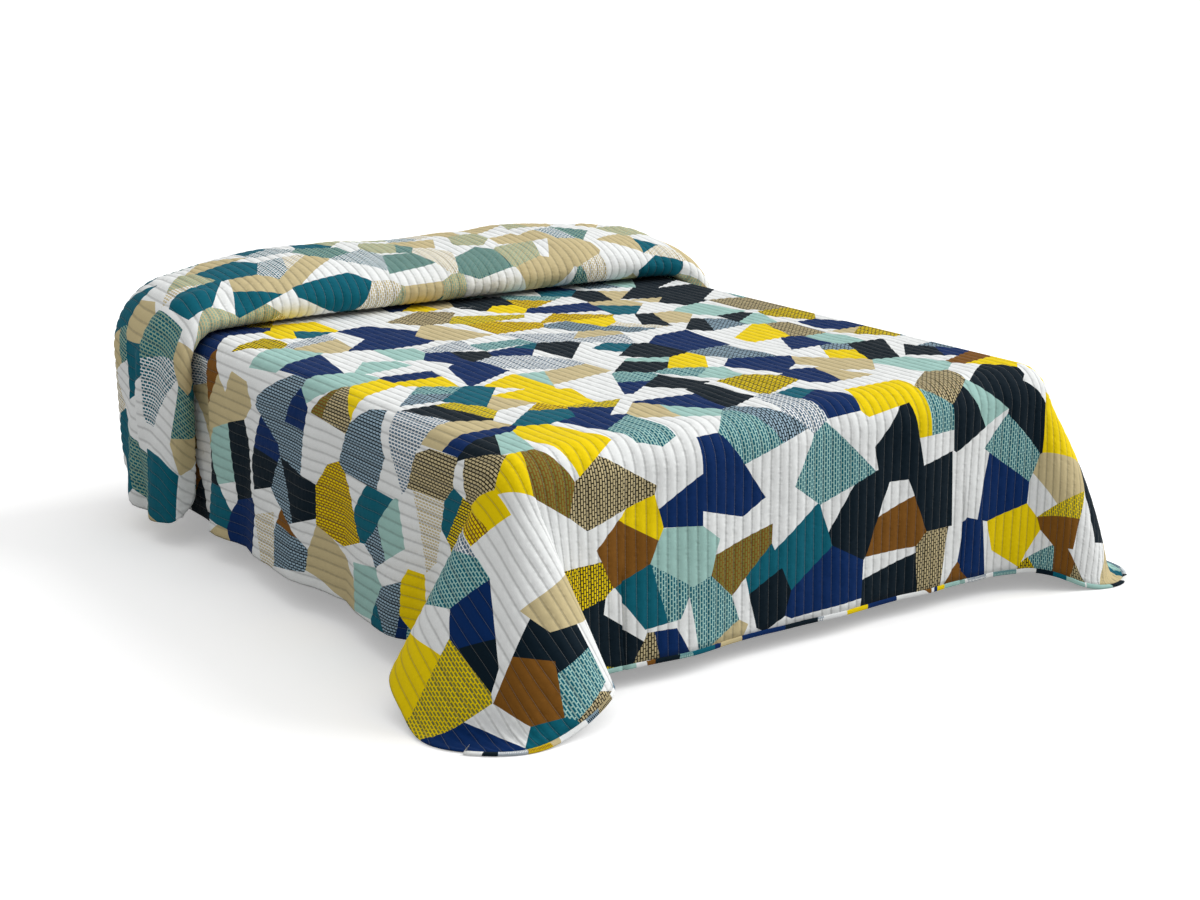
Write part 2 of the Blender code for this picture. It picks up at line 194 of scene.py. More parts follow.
# Columns: x along the foot, how far the hem stands out.
FOOT = [
    (-0.482, 0.001),
    (-0.321, 0.013),
    (-0.129, 0.002),
    (0.064, 0.013),
    (0.257, 0.002),
    (0.482, 0.003),
]
print("rows for the falls:", len(NEAR_SIDE), len(FAR_SIDE), len(FOOT))

# %% [markdown]
# At the head the cloth turns back over two pillows. One profile gives the roll's section, and a
# second table makes it higher over the pillows and lower between and beyond them.

# %% Tables of the roll
# The profile runs from where the cloth leaves the mattress to its tucked end.
# Columns: share of the depth from front to back, share of the height.
TURN_PROFILE = [
    (0.840, 0.000),
    (0.940, 0.060),
    (0.990, 0.220),
    (1.000, 0.450),
    (0.970, 0.720),
    (0.880, 0.910),
    (0.740, 1.000),
    (0.550, 1.010),
    (0.360, 0.960),
    (0.180, 0.850),
    (0.055, 0.660),
    (0.000, 0.430),
    (0.015, 0.240),
    (0.060, 0.125),
    (0.130, 0.100),
]
# Columns: u across the cloth, height of the roll, y of its front, y of its back.
TURN_SIZES = [
    (-1.183, 0.107, 0.424, 0.780),
    (-1.018, 0.105, 0.426, 0.791),
    (-0.879, 0.103, 0.418, 0.807),
    (-0.771, 0.103, 0.432, 0.839),
    (-0.664, 0.114, 0.452, 0.877),
    (-0.536, 0.133, 0.462, 0.909),
    (-0.386, 0.148, 0.462, 0.925),
    (-0.193, 0.144, 0.460, 0.928),
    (0.000, 0.137, 0.458, 0.925),
    (0.193, 0.144, 0.454, 0.928),
    (0.364, 0.149, 0.452, 0.925),
    (0.536, 0.137, 0.448, 0.914),
    (0.664, 0.120, 0.438, 0.882),
    (0.793, 0.109, 0.411, 0.845),
    (0.964, 0.105, 0.389, 0.818),
    (1.183, 0.102, 0.389, 0.807),
]
# Columns: share of the way along the roll, height of its side hem, how far that folds outwards.
TURN_HEM = [
    (0.000, 0.062, 0.000),
    (0.120, 0.107, 0.000),
    (0.250, 0.145, 0.000),
    (0.360, 0.123, 0.000),
    (0.460, 0.071, 0.004),
    (0.520, 0.056, -0.017),
    (0.600, 0.056, 0.013),
    (0.750, 0.046, 0.018),
    (0.860, 0.008, 0.030),
    (0.930, -0.022, 0.030),
    (1.000, -0.046, 0.020),
]
print("rows for the roll:", len(TURN_PROFILE), len(TURN_SIZES), len(TURN_HEM))

# %% [markdown]
# ## From flat cloth to draped cloth
# Near the bed's edges the cloth bends round a fold and hangs. At the foot corners the two falls
# meet, the spare cloth stands out as a cone and its hem rests on the floor. At the head the cloth
# rolls back over the pillows. Each stretch has its own short function, and one function picks.

# %% Follow a table
def ease(t):
    """0 to 1 with soft ends."""
    t = min(max(t, 0.0), 1.0)
    return t * t * (3 - 2 * t)


def follow(rows, t):
    """The other columns' values where the first column is t, on a smooth curve through the rows."""
    if t <= rows[0][0]:
        return rows[0][1:]
    if t >= rows[-1][0]:
        return rows[-1][1:]
    i = 0
    while rows[i + 1][0] < t:
        i += 1
    before, here = rows[max(i - 1, 0)], rows[i]
    there, after = rows[i + 1], rows[min(i + 2, len(rows) - 1)]
    span = there[0] - here[0]
    k = (t - here[0]) / span
    values = []
    for c in range(1, len(here)):
        leave = (there[c] - before[c]) / (there[0] - before[0]) * span
        arrive = (after[c] - here[c]) / (after[0] - here[0]) * span
        values.append(here[c] * (1 + 2 * k) * (1 - k)**2 + leave * k * (1 - k)**2
                      + there[c] * k * k * (3 - 2 * k) + arrive * k * k * (k - 1))
    return tuple(values)


print("the foot hem stands out by", [round(follow(FOOT, x / 4)[0], 3) for x in range(-2, 3)])

# %% [markdown]
# Cloth doesn't stretch, so the roll's profile is walked along and read by its length. The same
# walk gives the length that the whole bedspread needs.

# %% Measure the roll
def by_length(profile, steps=300):
    """The roll's profile as rows of (share of its length, depth share, height share)."""
    rows = [(i / (len(profile) - 1),) + row for i, row in enumerate(profile)]
    points = [follow(rows, i / steps) for i in range(steps + 1)]
    run = [0.0]
    for a, b in zip(points, points[1:]):
        run.append(run[-1] + hypot((b[0] - a[0]) * TURN_DEPTH, (b[1] - a[1]) * TURN_HEIGHT))
    return [(length / run[-1],) + point for length, point in zip(run, points)], run[-1]


TURN_CURVE, TURN_LENGTH = by_length(TURN_PROFILE)
CLOTH_LENGTH = TURN_V + TURN_LENGTH - BINDING_WIDTH
print("length over the roll", round(TURN_LENGTH, 3), "and of the cloth", round(CLOTH_LENGTH, 3))

# %% [markdown]
# Past an edge the wadded cloth bends round a soft fold, then hangs and leans out as far as its
# table says. Cloth that is longer than the drop settles on the floor and spreads outwards there.

# %% Hang the cloth over an edge
def lean_growth(length):
    """How far a slanting stretch has leant out, bending in softly from the fold."""
    if length < LEAN_BEND:
        return max(length, 0.0)**2 / (2 * LEAN_BEND)
    return length - LEAN_BEND / 2


def hang(root, out, length, floor, belly=0.0):
    """A point that far past the fold line at root, falling outwards and down towards the floor point."""
    turn = min(length / FOLD_RADIUS, pi / 2)
    x = root[0] + out[0] * FOLD_RADIUS * sin(turn)
    y = root[1] + out[1] * FOLD_RADIUS * sin(turn)
    z = CLOTH_BOTTOM - FOLD_RADIUS * (1 - cos(turn))
    lean_x = floor[0] - root[0] - out[0] * FOLD_RADIUS
    lean_y = floor[1] - root[1] - out[1] * FOLD_RADIUS
    lean = hypot(lean_x, lean_y)
    start = FOLD_ARC * LEAN_START
    share = lean_growth(length - start) / lean_growth(HANG_TOP + FOLD_ARC - start)
    share += belly * share * (1 - share)
    if length > FOLD_ARC:
        z -= (length - FOLD_ARC) / sqrt(1 + 0.5 * (lean / HANG_TOP)**2)
    if z < 2 * FLOOR_BEND:
        low = max(z, -2 * FLOOR_BEND)
        rested = FLOOR_CLEARANCE + low + (2 * FLOOR_BEND - low)**2 / (8 * FLOOR_BEND)
        share += (rested - z) / max(lean, 0.02)
        z = rested
    return x + lean_x * share, y + lean_y * share, z


foot_hem = hang((0, FLAT_Y), (0, 1), FOOT_FALL, (0, FLAT_Y + FOLD_RADIUS))
print("height of the foot hem", round(foot_hem[2], 3))

# %% [markdown]
# The foot, the sides and the corners all hang by that one function. Near a corner a straight fall
# is drawn into the corner's fold little by little, so that no seam shows between the stretches.

# %% The falls and the corners
def corner_place(u, v):
    """A point of a foot corner: both sides' falls meet there and the spare cloth stands out."""
    du, dv = abs(u) - FLAT_X, FOOT_FALL - v
    angle = atan2(du, dv)
    table, belly = (FAR_CORNER, FAR_BELLY) if u > 0 else (NEAR_CORNER, 0.0)
    floor = follow(table, angle / (pi / 2))
    return hang((FLAT_X, FLAT_Y), (sin(angle), cos(angle)), hypot(du, dv), floor, belly)


def foot_place(u, v):
    """A point of the fall at the foot, drawn into the corner's fold near its ends."""
    table, belly = (FAR_CORNER, FAR_BELLY) if u > 0 else (NEAR_CORNER, 0.0)
    place = abs(u) - FLAT_X
    plain = FLAT_Y + FOLD_RADIUS + follow(FOOT, u)[0]
    floor = (abs(u), plain)
    blend = ease((place - table[0][0]) / CORNER_BLEND)
    if blend > 0:
        corner = follow(table, place)
        floor = (corner[0], plain + (corner[1] - plain) * blend)
    return hang((abs(u), FLAT_Y), (0, 1), FOOT_FALL - v, floor, belly * blend)


def side_place(u, v, y):
    """A point of the fall at a side, drawn into the corner's fold near the foot."""
    table, belly = (FAR_CORNER, FAR_BELLY) if u > 0 else (NEAR_CORNER, 0.0)
    place = 1 + v - FOOT_FALL
    plain = FLAT_X + FOLD_RADIUS + follow(FAR_SIDE if u > 0 else NEAR_SIDE, y)[0]
    floor = (plain, -y)
    blend = ease((table[-1][0] - place) / CORNER_BLEND)
    if blend > 0:
        corner = follow(table, place)
        floor = (plain + (corner[0] - plain) * blend, -y + (corner[1] + y) * blend)
    return hang((FLAT_X, -y), (1, 0), abs(u) - FLAT_X, floor, belly * blend)


print("near side hem half way along", [round(part, 3) for part in side_place(-CLOTH_HALF, 1.4, 0)])

# %% [markdown]
# On the roll a point's place along the profile comes from v. Past the mattress's sides the roll
# hangs down, and its hem rises and falls as the table says.

# %% The roll over the pillows
def turned_place(u, v):
    """A point of the stretch that rolls back over the pillows, as (side offset, y, z)."""
    height, front, back = follow(TURN_SIZES, u)
    along = min((v - TURN_V) / TURN_LENGTH, 1.0)
    i = min(int(along * (len(TURN_CURVE) - 1)), len(TURN_CURVE) - 2)
    while TURN_CURVE[i][0] > along:
        i -= 1
    while TURN_CURVE[i + 1][0] < along:
        i += 1
    here, there = TURN_CURVE[i], TURN_CURVE[i + 1]
    k = (along - here[0]) / (there[0] - here[0])
    depth = here[1] + (there[1] - here[1]) * k
    rise = height * (here[2] + (there[2] - here[2]) * k)
    y = front + (back - front) * depth
    past = abs(u) - FLAT_X
    if past <= 0:
        return abs(u), y, CLOTH_BOTTOM + rise
    hem, fold = follow(TURN_HEM, along)
    radius = FOLD_RADIUS + rise
    arc = radius * pi / 2
    fall = HANG_TOP - hem
    length = past / (CLOTH_HALF - FLAT_X) * (arc + fall)
    turn = min(length / radius, pi / 2)
    x = FLAT_X + radius * sin(turn)
    z = CLOTH_BOTTOM + rise - radius * (1 - cos(turn)) - max(length - arc, 0.0)
    return x + fold * ease((length - arc * 0.6) / fall) * ease(rise / ROLL_BLEND), y, z


roll_top = max(turned_place(0, TURN_V + TURN_LENGTH * i / 20)[2] for i in range(21))
print("top of the roll", round(roll_top, 3))

# %% [markdown]
# One function then picks the stretch for any point of the flat cloth, and another rounds the flat
# panel's corners, as its maker cuts them.

# %% One function for the whole cloth
def lay(u, v):
    """Where the point u, v of the flat cloth's underside lies on the bed."""
    side = 1 if u > 0 else -1
    past_side, past_foot = abs(u) > FLAT_X, v < FOOT_FALL
    if past_foot:
        x, y, z = corner_place(u, v) if past_side else foot_place(u, v)
        return Vector((side * x, -y, z))
    if v > TURN_V:
        x, y, z = turned_place(u, v)
        return Vector((side * x, y, z))
    y = v - FOOT_FALL - FLAT_Y
    if y > TURN_AHEAD_Y:
        height, front, back = follow(TURN_SIZES, u)
        turn_y = front + (back - front) * TURN_PROFILE[0][0]
        y = TURN_AHEAD_Y + (turn_y - TURN_AHEAD_Y) * (y - TURN_AHEAD_Y) / TURN_FLAT
    if past_side:
        x, y, z = side_place(u, v, y)
        return Vector((side * x, -y, z))
    return Vector((u, y, CLOTH_BOTTOM))


def round_corner(u, v):
    """Moves a point of the full rectangle inwards so that the four corners are rounded."""
    side = 1 if u > 0 else -1
    a = (abs(u) - (CLOTH_HALF - CORNER_ROUNDING)) / CORNER_ROUNDING
    from_end = min(v, CLOTH_LENGTH - v)
    b = (CORNER_ROUNDING - from_end) / CORNER_ROUNDING
    if a <= 0 or b <= 0:
        return u, v
    new_a = a * sqrt(1 - b * b / 2)
    new_b = b * sqrt(1 - a * a / 2)
    u = side * (CLOTH_HALF - CORNER_ROUNDING + new_a * CORNER_ROUNDING)
    inwards = CORNER_ROUNDING * (1 - new_b)
    return u, inwards if v < CLOTH_LENGTH / 2 else CLOTH_LENGTH - inwards


print("the foot edge's middle lies at", [round(part, 3) for part in lay(0, 0)])

# %% [markdown]
# ## The quilted sheet
# Two printed cottons with wadding between them are stitched together in straight lengthwise
# lines, so each channel puffs up on both sides and pinches at its stitching. A grid primitive
# with four columns to a channel is laid in place, and Solidify gives it a thickness that
# follows a vertex group: thin on the lines, full between them.

# %% Lay the grid
COLUMNS_PER_CHANNEL = 4
ROW_STRETCHES = [
    (0.000, 26),
    (FOOT_FALL - FOLD_ARC, 7),
    (FOOT_FALL, 29),
    (FOOT_FALL + FLAT_Y + TURN_AHEAD_Y, 12),
    (TURN_V, 53),
]
MIDDLE_LIFT = 0.0031
FULL_THICKNESS = 0.0058
PINCHED_SHARE = 0.30
PUFF_ROUNDNESS = 0.75
EDGE_SHARE = 0.55


def row_lines():
    """The v of every row: each stretch of the cloth is divided evenly."""
    ends = [start for start, spaces in ROW_STRETCHES[1:]] + [CLOTH_LENGTH]
    lines = []
    for (start, spaces), end in zip(ROW_STRETCHES, ends):
        lines += [start + (end - start) * i / spaces for i in range(spaces)]
    return lines + [CLOTH_LENGTH]


columns = np.linspace(-CLOTH_HALF, CLOTH_HALF, CHANNELS * COLUMNS_PER_CHANNEL + 1)
rows = row_lines()
flat = np.array([[round_corner(u, v) for u in columns] for v in rows])
under = np.array([[lay(u, v) for u, v in line] for line in flat])
across = np.gradient(under, axis=1)
along = np.gradient(under, axis=0)
normals = np.cross(across, along)
normals /= np.linalg.norm(normals, axis=2)[..., None]
middle = under + normals * MIDDLE_LIFT
print("grid of", len(columns), "columns and", len(rows), "rows")

# %% [markdown]
# Cloth that has been folded and laid by hand keeps soft creases. Each is a short straight ridge or
# trough on the flat cloth, given by its two ends, and it pushes the sheet out or in along its
# normal. Where the cloth lies on the mattress it can only rise, so those heights are positive.
# One trough beside the roll on the near side is too deep for the gap behind it: there the sheet
# presses up to 3 mm into the mattress's side, out of sight.

# %% Creases listed one by one
# Columns: u and v of one end, u and v of the other, half width, height above the printed face.
SIDE_V = FOOT_FALL + FLAT_Y
CREASES = [
    (-0.93, SIDE_V - 0.42, -1.19, SIDE_V - 0.40, 0.045, 0.008),
    (-0.98, SIDE_V - 0.31, -1.19, SIDE_V - 0.33, 0.030, -0.006),
    (-0.86, SIDE_V - 0.18, -1.19, SIDE_V - 0.13, 0.050, 0.009),
    (-1.00, SIDE_V - 0.02, -1.19, SIDE_V + 0.01, 0.035, -0.006),
    (-0.80, SIDE_V + 0.06, -1.02, SIDE_V + 0.09, 0.030, 0.006),
    (-0.90, SIDE_V + 0.20, -1.19, SIDE_V + 0.22, 0.040, 0.007),
    (-0.82, SIDE_V + 0.36, -1.19, SIDE_V + 0.33, 0.022, 0.008),
    (-0.80, SIDE_V + 0.45, -1.10, SIDE_V + 0.42, 0.040, -0.016),
    (-0.62, TURN_V + 0.60, -1.19, TURN_V + 0.42, 0.040, 0.010),
    (-0.70, TURN_V + 0.52, -1.19, TURN_V + 0.33, 0.032, -0.009),
    (-0.90, TURN_V + 0.36, -1.19, TURN_V + 0.22, 0.040, 0.008),
    (-0.20, TURN_V + 0.30, 0.02, TURN_V + 0.56, 0.060, -0.006),
    (0.24, TURN_V + 0.25, 0.30, TURN_V + 0.60, 0.060, 0.006),
    (0.62, TURN_V + 0.30, 1.19, TURN_V + 0.40, 0.045, -0.008),
    (-0.52, 0.06, -0.44, 0.40, 0.050, -0.006),
    (-0.30, 0.00, -0.24, 0.34, 0.060, 0.005),
    (0.02, 0.00, 0.06, 0.38, 0.060, -0.005),
    (0.36, 0.00, 0.34, 0.36, 0.055, 0.006),
    (0.60, 0.02, 0.56, 0.42, 0.050, -0.006),
    (-0.50, 0.66, 0.10, 0.72, 0.060, 0.004),
    (0.20, 0.92, 0.62, 0.86, 0.055, 0.004),
    (-0.35, 1.20, 0.30, 1.27, 0.070, 0.005),
    (0.92, SIDE_V - 0.36, 1.19, SIDE_V - 0.34, 0.040, 0.007),
    (0.90, SIDE_V - 0.08, 1.19, SIDE_V - 0.05, 0.050, 0.008),
    (0.92, SIDE_V + 0.16, 1.19, SIDE_V + 0.18, 0.040, -0.006),
]


def crease_heights(spots):
    """The sum of all creases at each flat place."""
    total = np.zeros(spots.shape[:2])
    for u0, v0, u1, v1, half_width, rise in CREASES:
        start, run = np.array((u0, v0)), np.array((u1 - u0, v1 - v0))
        share = np.clip(((spots - start) @ run) / (run @ run), 0, 1)
        gap = np.linalg.norm(spots - start - share[..., None] * run, axis=2)
        close = np.clip(1 - (gap / (half_width * 1.6))**2, 0, None)
        total += rise * close**2
    return total


heights = crease_heights(flat)
middle = middle + normals * heights[..., None]
print("creases", len(CREASES), "from", round(heights.min(), 4), "to", round(heights.max(), 4))

# %% [markdown]
# A grid primitive keeps its points in rows and columns, so every point can be given its laid
# place at once. Its UV map holds the flat cloth in metres, and a vertex group holds the share of
# the thickness: least on the stitched lines, most in the middle of a channel.

# %% Make the sheet
bpy.ops.object.select_all(action="DESELECT")
bpy.ops.mesh.primitive_grid_add(
    x_subdivisions=len(columns) - 1, y_subdivisions=len(rows) - 1, size=1, location=(0, 0, 0)
)
spread = bpy.context.object
spread.name = "quilted_bedspread"
mesh = spread.data
mesh.vertices.foreach_set("co", middle.reshape(-1))
uv_layer = mesh.uv_layers[0] if mesh.uv_layers else mesh.uv_layers.new(name="flat_cloth")
uv_layer.name = "flat_cloth"
corner_points = np.empty(len(mesh.loops), dtype=int)
mesh.loops.foreach_get("vertex_index", corner_points)
uv_layer.data.foreach_set("uv", flat.reshape(-1, 2)[corner_points].reshape(-1))

puff = spread.vertex_groups.new(name="puff")
phase = np.arange(len(columns)) % COLUMNS_PER_CHANNEL / COLUMNS_PER_CHANNEL
share = PINCHED_SHARE + (1 - PINCHED_SHARE) * np.sin(pi * phase)**PUFF_ROUNDNESS
order = np.arange(len(columns) * len(rows)).reshape(len(rows), len(columns))
edge = np.zeros(order.shape, bool)
edge[[0, -1], :] = True
edge[:, [0, -1]] = True
for value in sorted(set(share.round(4))):
    alike = np.isclose(share, value, atol=1e-3)
    chosen = order[:, alike][~edge[:, alike]]
    puff.add([int(i) for i in chosen], float(value), "REPLACE")
puff.add([int(i) for i in order[edge]], EDGE_SHARE, "REPLACE")
print("sheet points", len(mesh.vertices))

# %% [markdown]
# Solidify makes the second side. It can also give that side the next material, which suits a
# reversible cloth: slot 0 is the face's print and slot 1 the reverse's.

# %% Give it thickness
wadding = spread.modifiers.new("wadding", "SOLIDIFY")
wadding.thickness = FULL_THICKNESS
wadding.offset = 0
wadding.vertex_group = "puff"
wadding.thickness_vertex_group = 0.0
wadding.material_offset = 1
wadding.material_offset_rim = 0
for side in ("face", "reverse"):
    spread.data.materials.append(bpy.data.materials.new("blank_" + side))
bpy.context.view_layer.objects.active = spread
bpy.ops.object.modifier_apply(modifier=wadding.name)
bpy.ops.object.shade_smooth()
print("sheet faces", len(spread.data.polygons))

# %% [markdown]
# ## The binding
# The cut edge is closed with a narrow strip of the same print, folded over and sewn. A torus
# primitive has just the right topology, a closed tube, so its rings are moved one by one onto the
# hem and flattened. The same helper later lays the piping round the mattress. The primitive
# makes 256 rings at most, which is plenty for the piping but too few for the hem.

# %% A helper that lays a tube along a path
def lay_tube(name, centres, sides, ups, half_width, half_height, ring=10, fullness=0.75):
    """A closed tube through centres; its section is a flattened round with soft corners."""
    bpy.ops.object.select_all(action="DESELECT")
    bpy.ops.mesh.primitive_torus_add(
        major_segments=len(centres), minor_segments=ring, major_radius=1, minor_radius=0.25,
        generate_uvs=True, location=(0, 0, 0),
    )
    tube = bpy.context.object
    tube.name = name
    places = []
    for centre, side, up in zip(centres, sides, ups):
        for j in range(ring):
            a = 2 * pi * j / ring
            c, s = cos(a), sin(a)
            wide = abs(c)**fullness * (1 if c > 0 else -1) * half_width
            high = abs(s)**fullness * (1 if s > 0 else -1) * half_height
            places.append(centre + side * wide + up * high)
    tube.data.vertices.foreach_set("co", np.array(places).reshape(-1))
    steps = np.linalg.norm(np.roll(centres, -1, axis=0) - np.array(centres), axis=1)
    uv = tube.data.uv_layers[0]
    uv.name = "strip"
    values = np.empty(len(uv.data) * 2)
    uv.data.foreach_get("uv", values)
    values = values.reshape(-1, 2) * (steps.sum(), 2 * (half_width + half_height))
    uv.data.foreach_set("uv", values.reshape(-1))
    bpy.ops.object.mode_set(mode="EDIT")
    bpy.ops.mesh.select_all(action="SELECT")
    bpy.ops.mesh.normals_make_consistent(inside=False)
    bpy.ops.object.mode_set(mode="OBJECT")
    bpy.ops.object.shade_smooth()
    print(name, "is", round(steps.sum(), 2), "m long")
    return tube


# %% [markdown]
# The band follows the sheet's own edge points. At each one it needs two directions, outwards in
# the cloth and up from the cloth, and both come from places just beyond and just inside the hem.
# Known fault: the path has 638 places and only 256 rings are made. The band covers the foot hem
# and the first part of the far side, is missing from the rest of the edge, and closes with a
# strip that runs straight under the bed. The frame's own binding goes all the way round. The
# length printed for hem_binding is that of the path.

# %% Sew the binding on
def hem_path():
    """Grid places round the cloth's edge, anticlockwise, as (row, column)."""
    last_row, last_column = len(rows) - 1, len(columns) - 1
    path = [(0, c) for c in range(0, last_column, 2)]
    path += [(r, last_column) for r in range(last_row)]
    path += [(last_row, c) for c in range(last_column, 0, -2)]
    path += [(r, 0) for r in range(last_row, 0, -1)]
    return path


BAND_OVERLAP = 0.0012
BAND_HALF_HEIGHT = 0.0034
STEP_PAST_HEM = 0.0055
STEP_BEFORE_HEM = 0.002
hem = hem_path()
centres, sides, ups = [], [], []
for r, c in hem:
    u, v = flat[r, c]
    middle_u = min(max(u, CORNER_ROUNDING - CLOTH_HALF), CLOTH_HALF - CORNER_ROUNDING)
    middle_v = min(max(v, CORNER_ROUNDING), CLOTH_LENGTH - CORNER_ROUNDING)
    out = Vector((u - middle_u, v - middle_v)).normalized()
    beyond = lay(u + out.x * STEP_PAST_HEM, v + out.y * STEP_PAST_HEM)
    before = lay(u - out.x * STEP_BEFORE_HEM, v - out.y * STEP_BEFORE_HEM)
    up = Vector(normals[r, c])
    side = beyond - before
    side = (side - up * side.dot(up)).normalized()
    centre = Vector(middle[r, c]) + side * (BINDING_WIDTH - BAND_OVERLAP) / 2
    centres.append(centre)
    sides.append(side)
    ups.append(up)
band_half_width = (BINDING_WIDTH + BAND_OVERLAP) / 2
binding = lay_tube("hem_binding", centres, sides, ups, band_half_width, BAND_HALF_HEIGHT)
for vertex in binding.data.vertices:
    vertex.co.z = max(vertex.co.z, FLOOR_CLEARANCE)
print("binding points", len(binding.data.vertices))

# %% [markdown]
# ## The mattress
# Only its head end shows, below the roll. A mattress is a padded box whose sides swell a little
# and whose edges are closed with piping. A cube is rounded with the bevel operator, its faces are
# subdivided, and the sides are eased inwards near their edges so that the border looks filled.

# %% Mattress
MATTRESS_ROUNDING = 0.085
BORDER_TUCK = 0.003
BORDER_DEPTH = 0.02
TUCKS_UP_THE_SIDE = 5


def rounded_block(name, low, high, rounding, segments, cuts):
    """A cube primitive at its size and place, its edges bevelled and its faces subdivided."""
    bpy.ops.object.select_all(action="DESELECT")
    bpy.ops.mesh.primitive_cube_add(size=1, location=(low + high) / 2, scale=high - low)
    block = bpy.context.object
    block.name = name
    bpy.ops.object.transform_apply(location=True, rotation=True, scale=True)
    bpy.ops.object.mode_set(mode="EDIT")
    bpy.ops.mesh.select_all(action="SELECT")
    bpy.ops.mesh.bevel(offset=rounding, segments=segments, affect="EDGES")
    bpy.ops.mesh.select_all(action="SELECT")
    bpy.ops.mesh.subdivide(number_cuts=cuts)
    bpy.ops.object.mode_set(mode="OBJECT")
    bpy.ops.object.shade_smooth()
    return block


mattress = rounded_block("mattress_padded", MATTRESS_LOW, MATTRESS_HIGH, MATTRESS_ROUNDING, 6, 3)
mattress_middle = (MATTRESS_LOW + MATTRESS_HIGH) / 2
half = (MATTRESS_HIGH - MATTRESS_LOW) / 2
for vertex in mattress.data.vertices:
    height = (vertex.co.z - mattress_middle.z) / half.z
    tuck = BORDER_TUCK * (1 + cos(pi * TUCKS_UP_THE_SIDE * height)) / 2
    for axis in (0, 1):
        if abs(vertex.co[axis] - mattress_middle[axis]) > half[axis] - BORDER_DEPTH:
            vertex.co[axis] -= tuck * (1 if vertex.co[axis] > mattress_middle[axis] else -1)
print("mattress points", len(mattress.data.vertices))


# %% [markdown]
# Piping is a cord in a folded strip, sewn into the seam between the border and the panels. A thin
# tube is laid round the mattress a little below its top edge and a little above its bottom one.

# %% Mattress piping
def rounded_outline(half_x, half_y, radius, z, steps=14):
    """Points round a rounded rectangle, with their outward directions."""
    points, outs = [], []
    for quarter, (sx, sy) in enumerate(((1, 1), (-1, 1), (-1, -1), (1, -1))):
        for i in range(steps + 1):
            a = pi / 2 * (quarter + i / steps)
            out = Vector((cos(a), sin(a), 0))
            corner = Vector((sx * (half_x - radius), sy * (half_y - radius), z))
            points.append(corner + out * radius)
            outs.append(out)
    return points, outs


piping = []
PIPING_RADIUS = 0.0035
PIPING_DROP = 0.040
PIPING_SINK = 0.001
shrink = MATTRESS_ROUNDING * (1 - sqrt(1 - (1 - PIPING_DROP / MATTRESS_ROUNDING)**2))
for name, z in (("upper", MATTRESS_HIGH.z - PIPING_DROP), ("lower", MATTRESS_LOW.z + PIPING_DROP)):
    points, outs = rounded_outline(
        half.x - shrink - PIPING_SINK, half.y - shrink - PIPING_SINK, MATTRESS_ROUNDING - shrink, z
    )
    piping.append(lay_tube(
        "mattress_piping_" + name, points, outs, [Vector((0, 0, 1))] * len(points),
        PIPING_RADIUS, PIPING_RADIUS, ring=8, fullness=1,
    ))

# %% [markdown]
# The base under the mattress is a timber box with a woven cover pulled tight over it. The cover
# rounds the box's edges a little, and a welt is sewn into its seam along the top and the bottom.

# %% Base
BASE_ROUNDING = 0.012
WELT_RADIUS = 0.003
base_low, base_high = (Vector(corner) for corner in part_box("base"))
base = rounded_block("base_covered", base_low, base_high, BASE_ROUNDING, 3, 3)
base_half = (base_high - base_low) / 2
base_middle = (base_high + base_low) / 2
welts = []
for name, z in (("top", base_high.z - BASE_ROUNDING), ("bottom", base_low.z + BASE_ROUNDING)):
    points, outs = rounded_outline(base_half.x, base_half.y, BASE_ROUNDING, z, steps=5)
    points = [point + Vector((base_middle.x, base_middle.y, 0)) for point in points]
    welts.append(lay_tube(
        "base_welt_" + name, points, outs, [Vector((0, 0, 1))] * len(points),
        WELT_RADIUS, WELT_RADIUS, ring=8, fullness=1,
    ))

# %% [markdown]
# ## The pillows
# Two pillows fill the roll and hardly show. Each is a cube whose faces are subdivided and then
# pulled into a pillow's form in code: full in the middle, thin at the seam, drawn in between its
# corners. A simulation isn't worth its time for a piece that stays under the cloth.

# %% Pillows
PILLOW_ROUNDING = 0.01
SEAM_SHARE = 0.10
SIDE_DRAW = 0.05
WRINKLE_SHARE = 0.012


def pillow(name, node):
    """A crowned pillow in that node's box, drawn in along its sides and lightly wrinkled."""
    low, high = (Vector(corner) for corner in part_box(node))
    made = rounded_block(name, low, high, PILLOW_ROUNDING, 2, 9)
    centre, size = (low + high) / 2, (high - low) / 2
    for vertex in made.data.vertices:
        x, y, z = ((vertex.co[i] - centre[i]) / size[i] for i in range(3))
        crown = ((1 - abs(x)**3.2) * (1 - abs(y)**3.2))**0.42
        lift = SEAM_SHARE + (1 - SEAM_SHARE) * max(crown, 0)
        draw = 1 - SIDE_DRAW * (1 - x * x) * abs(y)**2
        draw_x = 1 - SIDE_DRAW * (1 - y * y) * abs(x)**2
        wrinkle = WRINKLE_SHARE * sin(21 * x + 4 * y) * sin(17 * y) * (abs(x) + abs(y)) / 2
        vertex.co = centre + Vector((
            x * size.x * draw_x, y * size.y * draw, z * size.z * (lift - abs(wrinkle)),
        ))
    bpy.ops.object.shade_smooth()
    print(name, "points", len(made.data.vertices))
    return made


pillows = [pillow("pillow_left", "pillow_near"), pillow("pillow_right", "pillow_far")]

# %% [markdown]
# ## Finishes
# The cloth is cotton, printed, and stitched through its wadding. Three effects are shared by its
# materials, so each is a node group: the patchwork print, the quilting lines with their stitches
# and puckers, and the weave. All read the flat cloth's own UV map, in metres, so the pattern
# follows every fold as print does.

# %% A small helper for node trees
def add_node(tree, kind, inputs=(), **settings):
    """Adds a node, sets its properties, and links or sets its inputs by name or number."""
    node = tree.nodes.new(kind)
    for key, value in settings.items():
        setattr(node, key, value)
    for key, value in dict(inputs).items():
        if hasattr(value, "is_output"):
            tree.links.new(value, node.inputs[key])
        else:
            node.inputs[key].default_value = value
    return node


